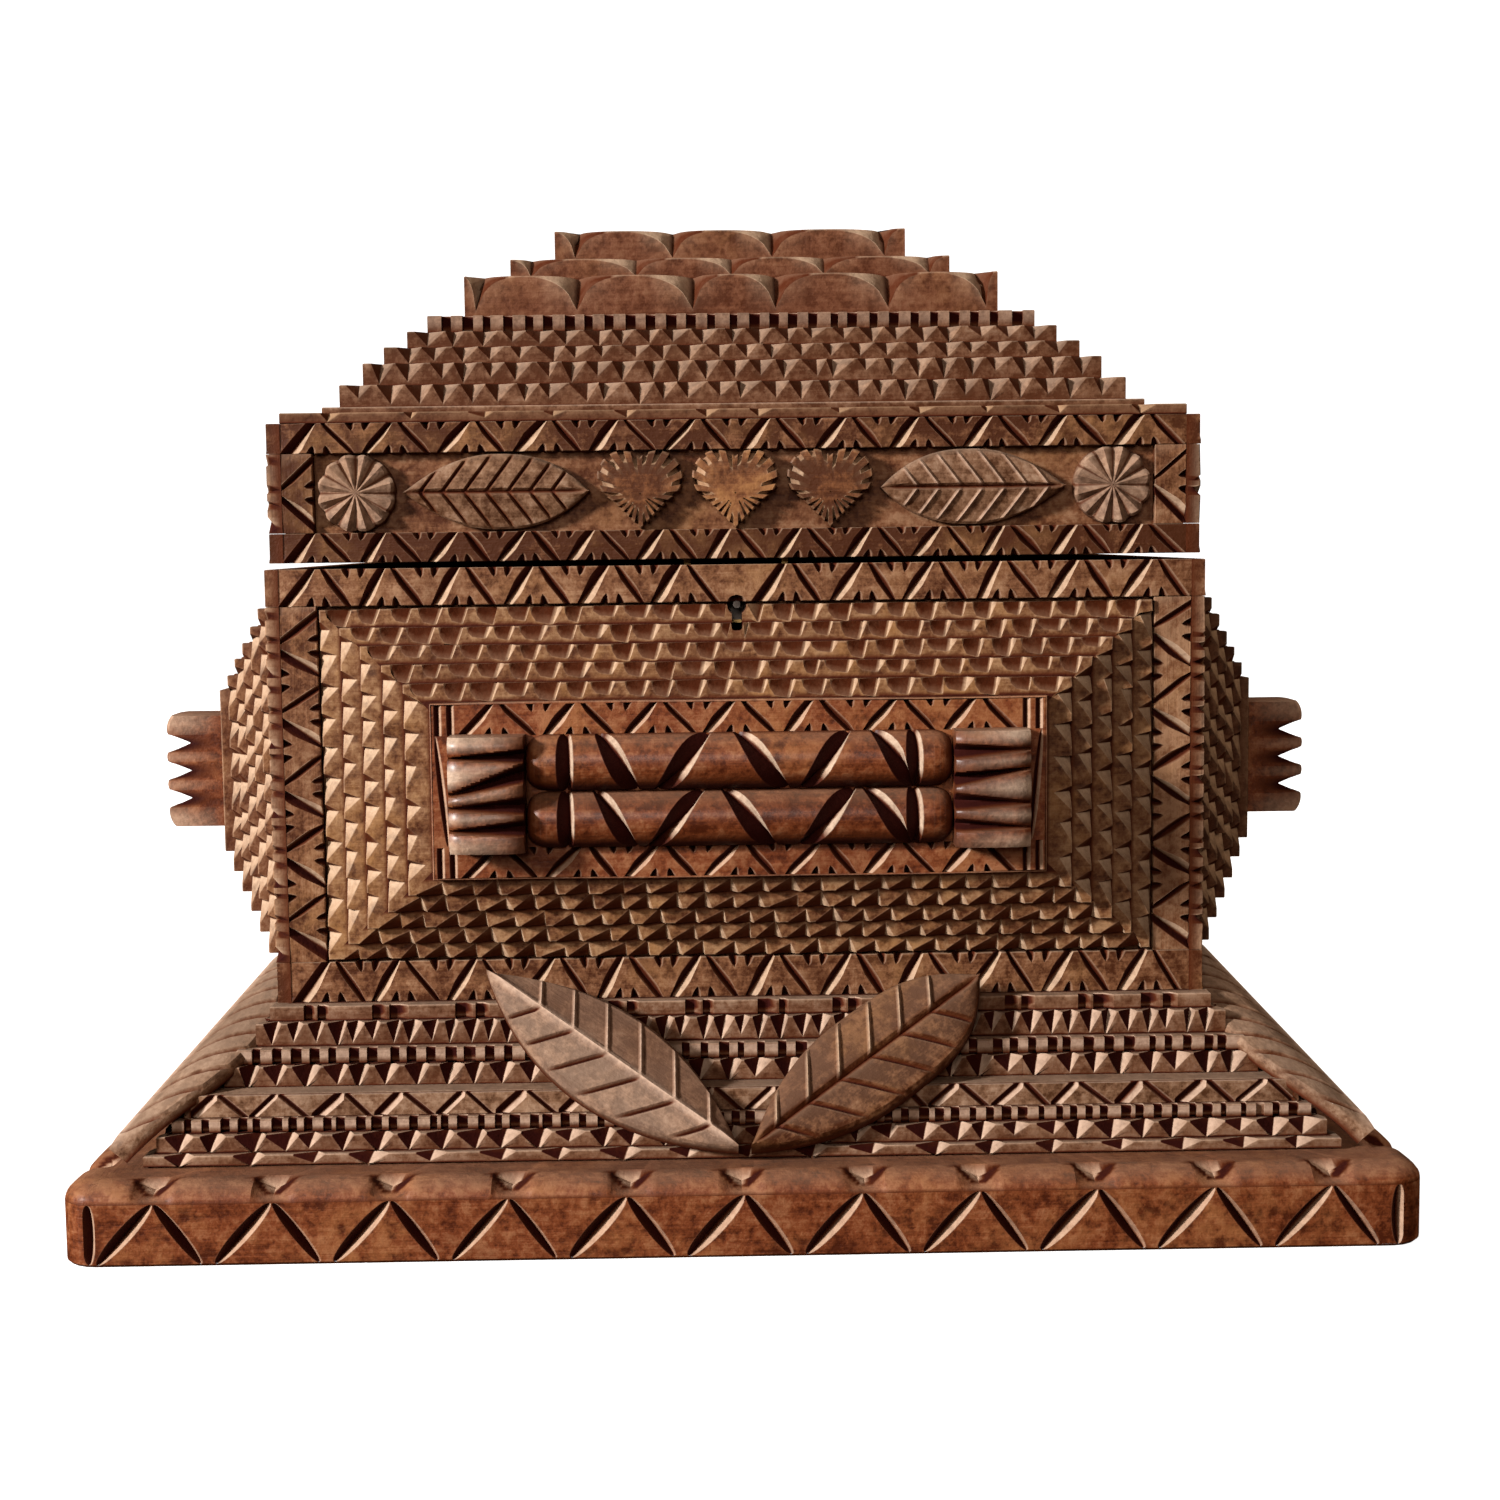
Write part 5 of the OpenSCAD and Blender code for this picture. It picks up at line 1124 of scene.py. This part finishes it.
# Rosette: scooped petals, whose height falls from their middle line to the V between two of them; the V
# and the foot are darkened with painted shade
def rosette(piece, place, r, t, spec, tone):
    petals, groove = spec["petals"], spec["groove"]
    per = np.array([0, 0.12, 0.3, 0.5, 0.7, 0.88])
    turn = (np.arange(petals)[:, None] + per).ravel()
    phase = np.abs((turn % 1.0) * 2 - 1)
    tilt = ((turn % 1.0) * 2 - 1) * 0.35
    a = turn / petals * 2 * math.pi
    foot = np.stack([r * np.cos(a), r * np.sin(a), 0 * a], -1)
    pts, cuts, soilsAndShades = [foot], [0 * a], [0.5 + 0 * a]
    rings = ((1.0, 0.75), (0.93, 1.0), (0.7, 0.95), (0.45, 0.8), (0.25, 0.5), (0.12, 0.1), (0.01, 0.0))
    for share, deep in rings:
        edge = r * share * (1 - 0.07 * phase ** 2 * (share > 0.9))
        h = t - deep * groove * (phase ** 1.3 + tilt) - 0.35 * groove - 0.5 * groove * (share > 0.99)
        pts.append(np.stack([edge * np.cos(a), edge * np.sin(a), h], -1))
        cuts.append(0.25 + 0 * a)
        soilsAndShades.append(unit(phase * 3 - 2.3) * 0.8)
    piece.grid(np.stack(pts), place, (0, 0, t / 2), np.stack(cuts), np.stack(soilsAndShades), tone, True)


bandLeaf = {"len": 45.0, "w": 18.2, "t": 4.3, "crown": 1.3, "veins": 7, "lean": 0.75, "veinHalf": 0.75,
            "blunt": 2.6, "upper": -1.1, "lower": -1.1, "rib": -1.1, "ribHalf": 0.7}
bandRosette = {"petals": 12, "groove": 1.7}
rosetteX = lidW / 2 - lidFrame["stile"] - 1.0 - bandH / 2
leafX = (heartPitch * 1.5 - heart["gap"] / 2 + rosetteX - bandH / 2) / 2
piece = Piece("bandWood", "lid", "wood_tan", "band_leaves_rosettes")
for hand, spec in ((-1, bandLeaf), (1, dict(bandLeaf, upper=0.8, lower=0.8))):
    leaf(piece, stand(front, carcass, bandZ, hand * leafX), spec, -hand, 0.34)
    rosette(piece, stand(front, carcass, bandZ, hand * rosetteX), bandH / 2, ornamentT, bandRosette, 0.42)
piece.build()
print("ornaments made")

# CAD nodes take the finish of their slot; the board behind the ornaments is as brown as its frame
slotOf = {s["node"]: s["material_slot"] for s in frame["record"]["subparts"]}
slotOf["lid_front"] = "wood_brown"
for node, obj in frame["nodes"].items():
    obj.data.materials.clear()
    obj.data.materials.append(plainWoods.get(slotOf[node], materials[slotOf[node]]))

# Stage: a pale floor that rises all round, flat as far as a radius, then a bend and a wall
bowl = {"flat": 2.3, "bend": 0.8, "rise": 2.6}
u = np.linspace(0, 1, 41)
bendAngle = unit((u - 0.4) / 0.3) * math.pi / 2
radius = 0.002 + bowl["flat"] * unit(u / 0.4) + bowl["bend"] * np.sin(bendAngle)
height = bowl["bend"] * (1 - np.cos(bendAngle)) + bowl["rise"] * unit((u - 0.7) / 0.3)
turn = np.linspace(0, 2 * math.pi, 97)[:-1]
verts = np.stack([np.outer(radius, np.cos(turn)), np.outer(radius, np.sin(turn)),
                  np.outer(height, np.ones(len(turn)))], -1)
k = np.arange(len(u) * len(turn)).reshape(len(u), len(turn))
after = np.roll(k, -1, axis=1)
quads = np.stack([k[:-1], after[:-1], after[1:], k[1:]], -1).reshape(-1, 4)[:, ::-1]
mesh = bpy.data.meshes.new("floor")
mesh.from_pydata(verts.reshape(-1, 3), [], quads)
mesh.polygons.foreach_set("use_smooth", np.full(len(quads), True))
paper, shader = newMaterial("paper")[:2]
feed(shader, "Base Color", rgb(0.5, 0.5, 0.5))
feed(shader, "Roughness", 0.9)
feed(shader, "Emission Color", rgb(1, 1, 1))
feed(shader, "Emission Strength", 0.88)
mesh.materials.append(paper)
floor = putObject("floor", mesh)
floor.visible_diffuse = floor.visible_glossy = False  # the white floor would fill the shadows of the carving


def areaLight(name, spot, size, power, colour=(1, 1, 1), glint=True, aim=(0, 0, 0.1)):
    data = bpy.data.lights.new(name, "AREA")
    data.shape, data.size, data.energy, data.color = "DISK", size, power, colour
    z = np.array(spot) - np.array(aim)
    z = z / np.linalg.norm(z)
    x = np.cross((0, 0, 1), z)
    x = x / np.linalg.norm(x)
    obj = putObject(name, data, (x, np.cross(z, x), z), spot)
    obj.visible_camera, obj.visible_glossy = False, glint


areaLight("key", (-1.6, -1.08, 0.78), 0.3, 83, (1.0, 0.985, 0.985))
areaLight("front", (-0.25, -1.9, 0.7), 0.7, 13, (1.0, 0.89, 0.80))
areaLight("overhead", (-0.2, 0.2, 1.9), 1.4, 4, (1.0, 0.90, 0.80))
areaLight("wall", (0, 1.5, 2.1), 1.6, 24, glint=False, aim=(0, 2.7, 0.9))
areaLight("behind", (-0.2, 1.5, 0.9), 0.6, 15, (1.0, 0.92, 0.84), glint=False)
areaLight("beside", (1.7, 0.55, 0.7), 0.6, 16, (1.0, 0.92, 0.84), glint=False)
world = bpy.data.worlds.new("room")
world.use_nodes = True
feed(world.node_tree.nodes["Background"], "Color", rgb(1.0, 0.48, 0.25))
feed(world.node_tree.nodes["Background"], "Strength", 0.05)
bpy.context.scene.world = world
bpy.context.scene.view_settings.view_transform = "Standard"

# Camera fitted to the photo, a little above the gap under the lid: millimetres and degrees
gapZ = (floorZ + bodyH + lidZ) / 2
view = {"x": -5.44, "y": -623.9, "rise": 6.0, "pitch": 5.55, "yaw": 0.883, "roll": -0.678, "lens": 52.8}
cp, sp = cosSin(view["pitch"])
cy, sy = cosSin(view["yaw"])
cr, sr = cosSin(view["roll"])
rightAxis = np.array([cy, -sy, 0.0])
forward = np.array([cp * sy, cp * cy, -sp])
upAxis = np.array([sp * sy, sp * cy, cp])
axes = (cr * rightAxis + sr * upAxis, -sr * rightAxis + cr * upAxis, -forward)
spot = (view["x"] * 0.001, view["y"] * 0.001, (gapZ + view["rise"]) * 0.001)
camera = bpy.data.cameras.new("camera")
camera.lens, camera.sensor_width = view["lens"], 36.0
cameraObj = putObject("camera", camera, axes, spot)
bpy.context.scene.camera = cameraObj
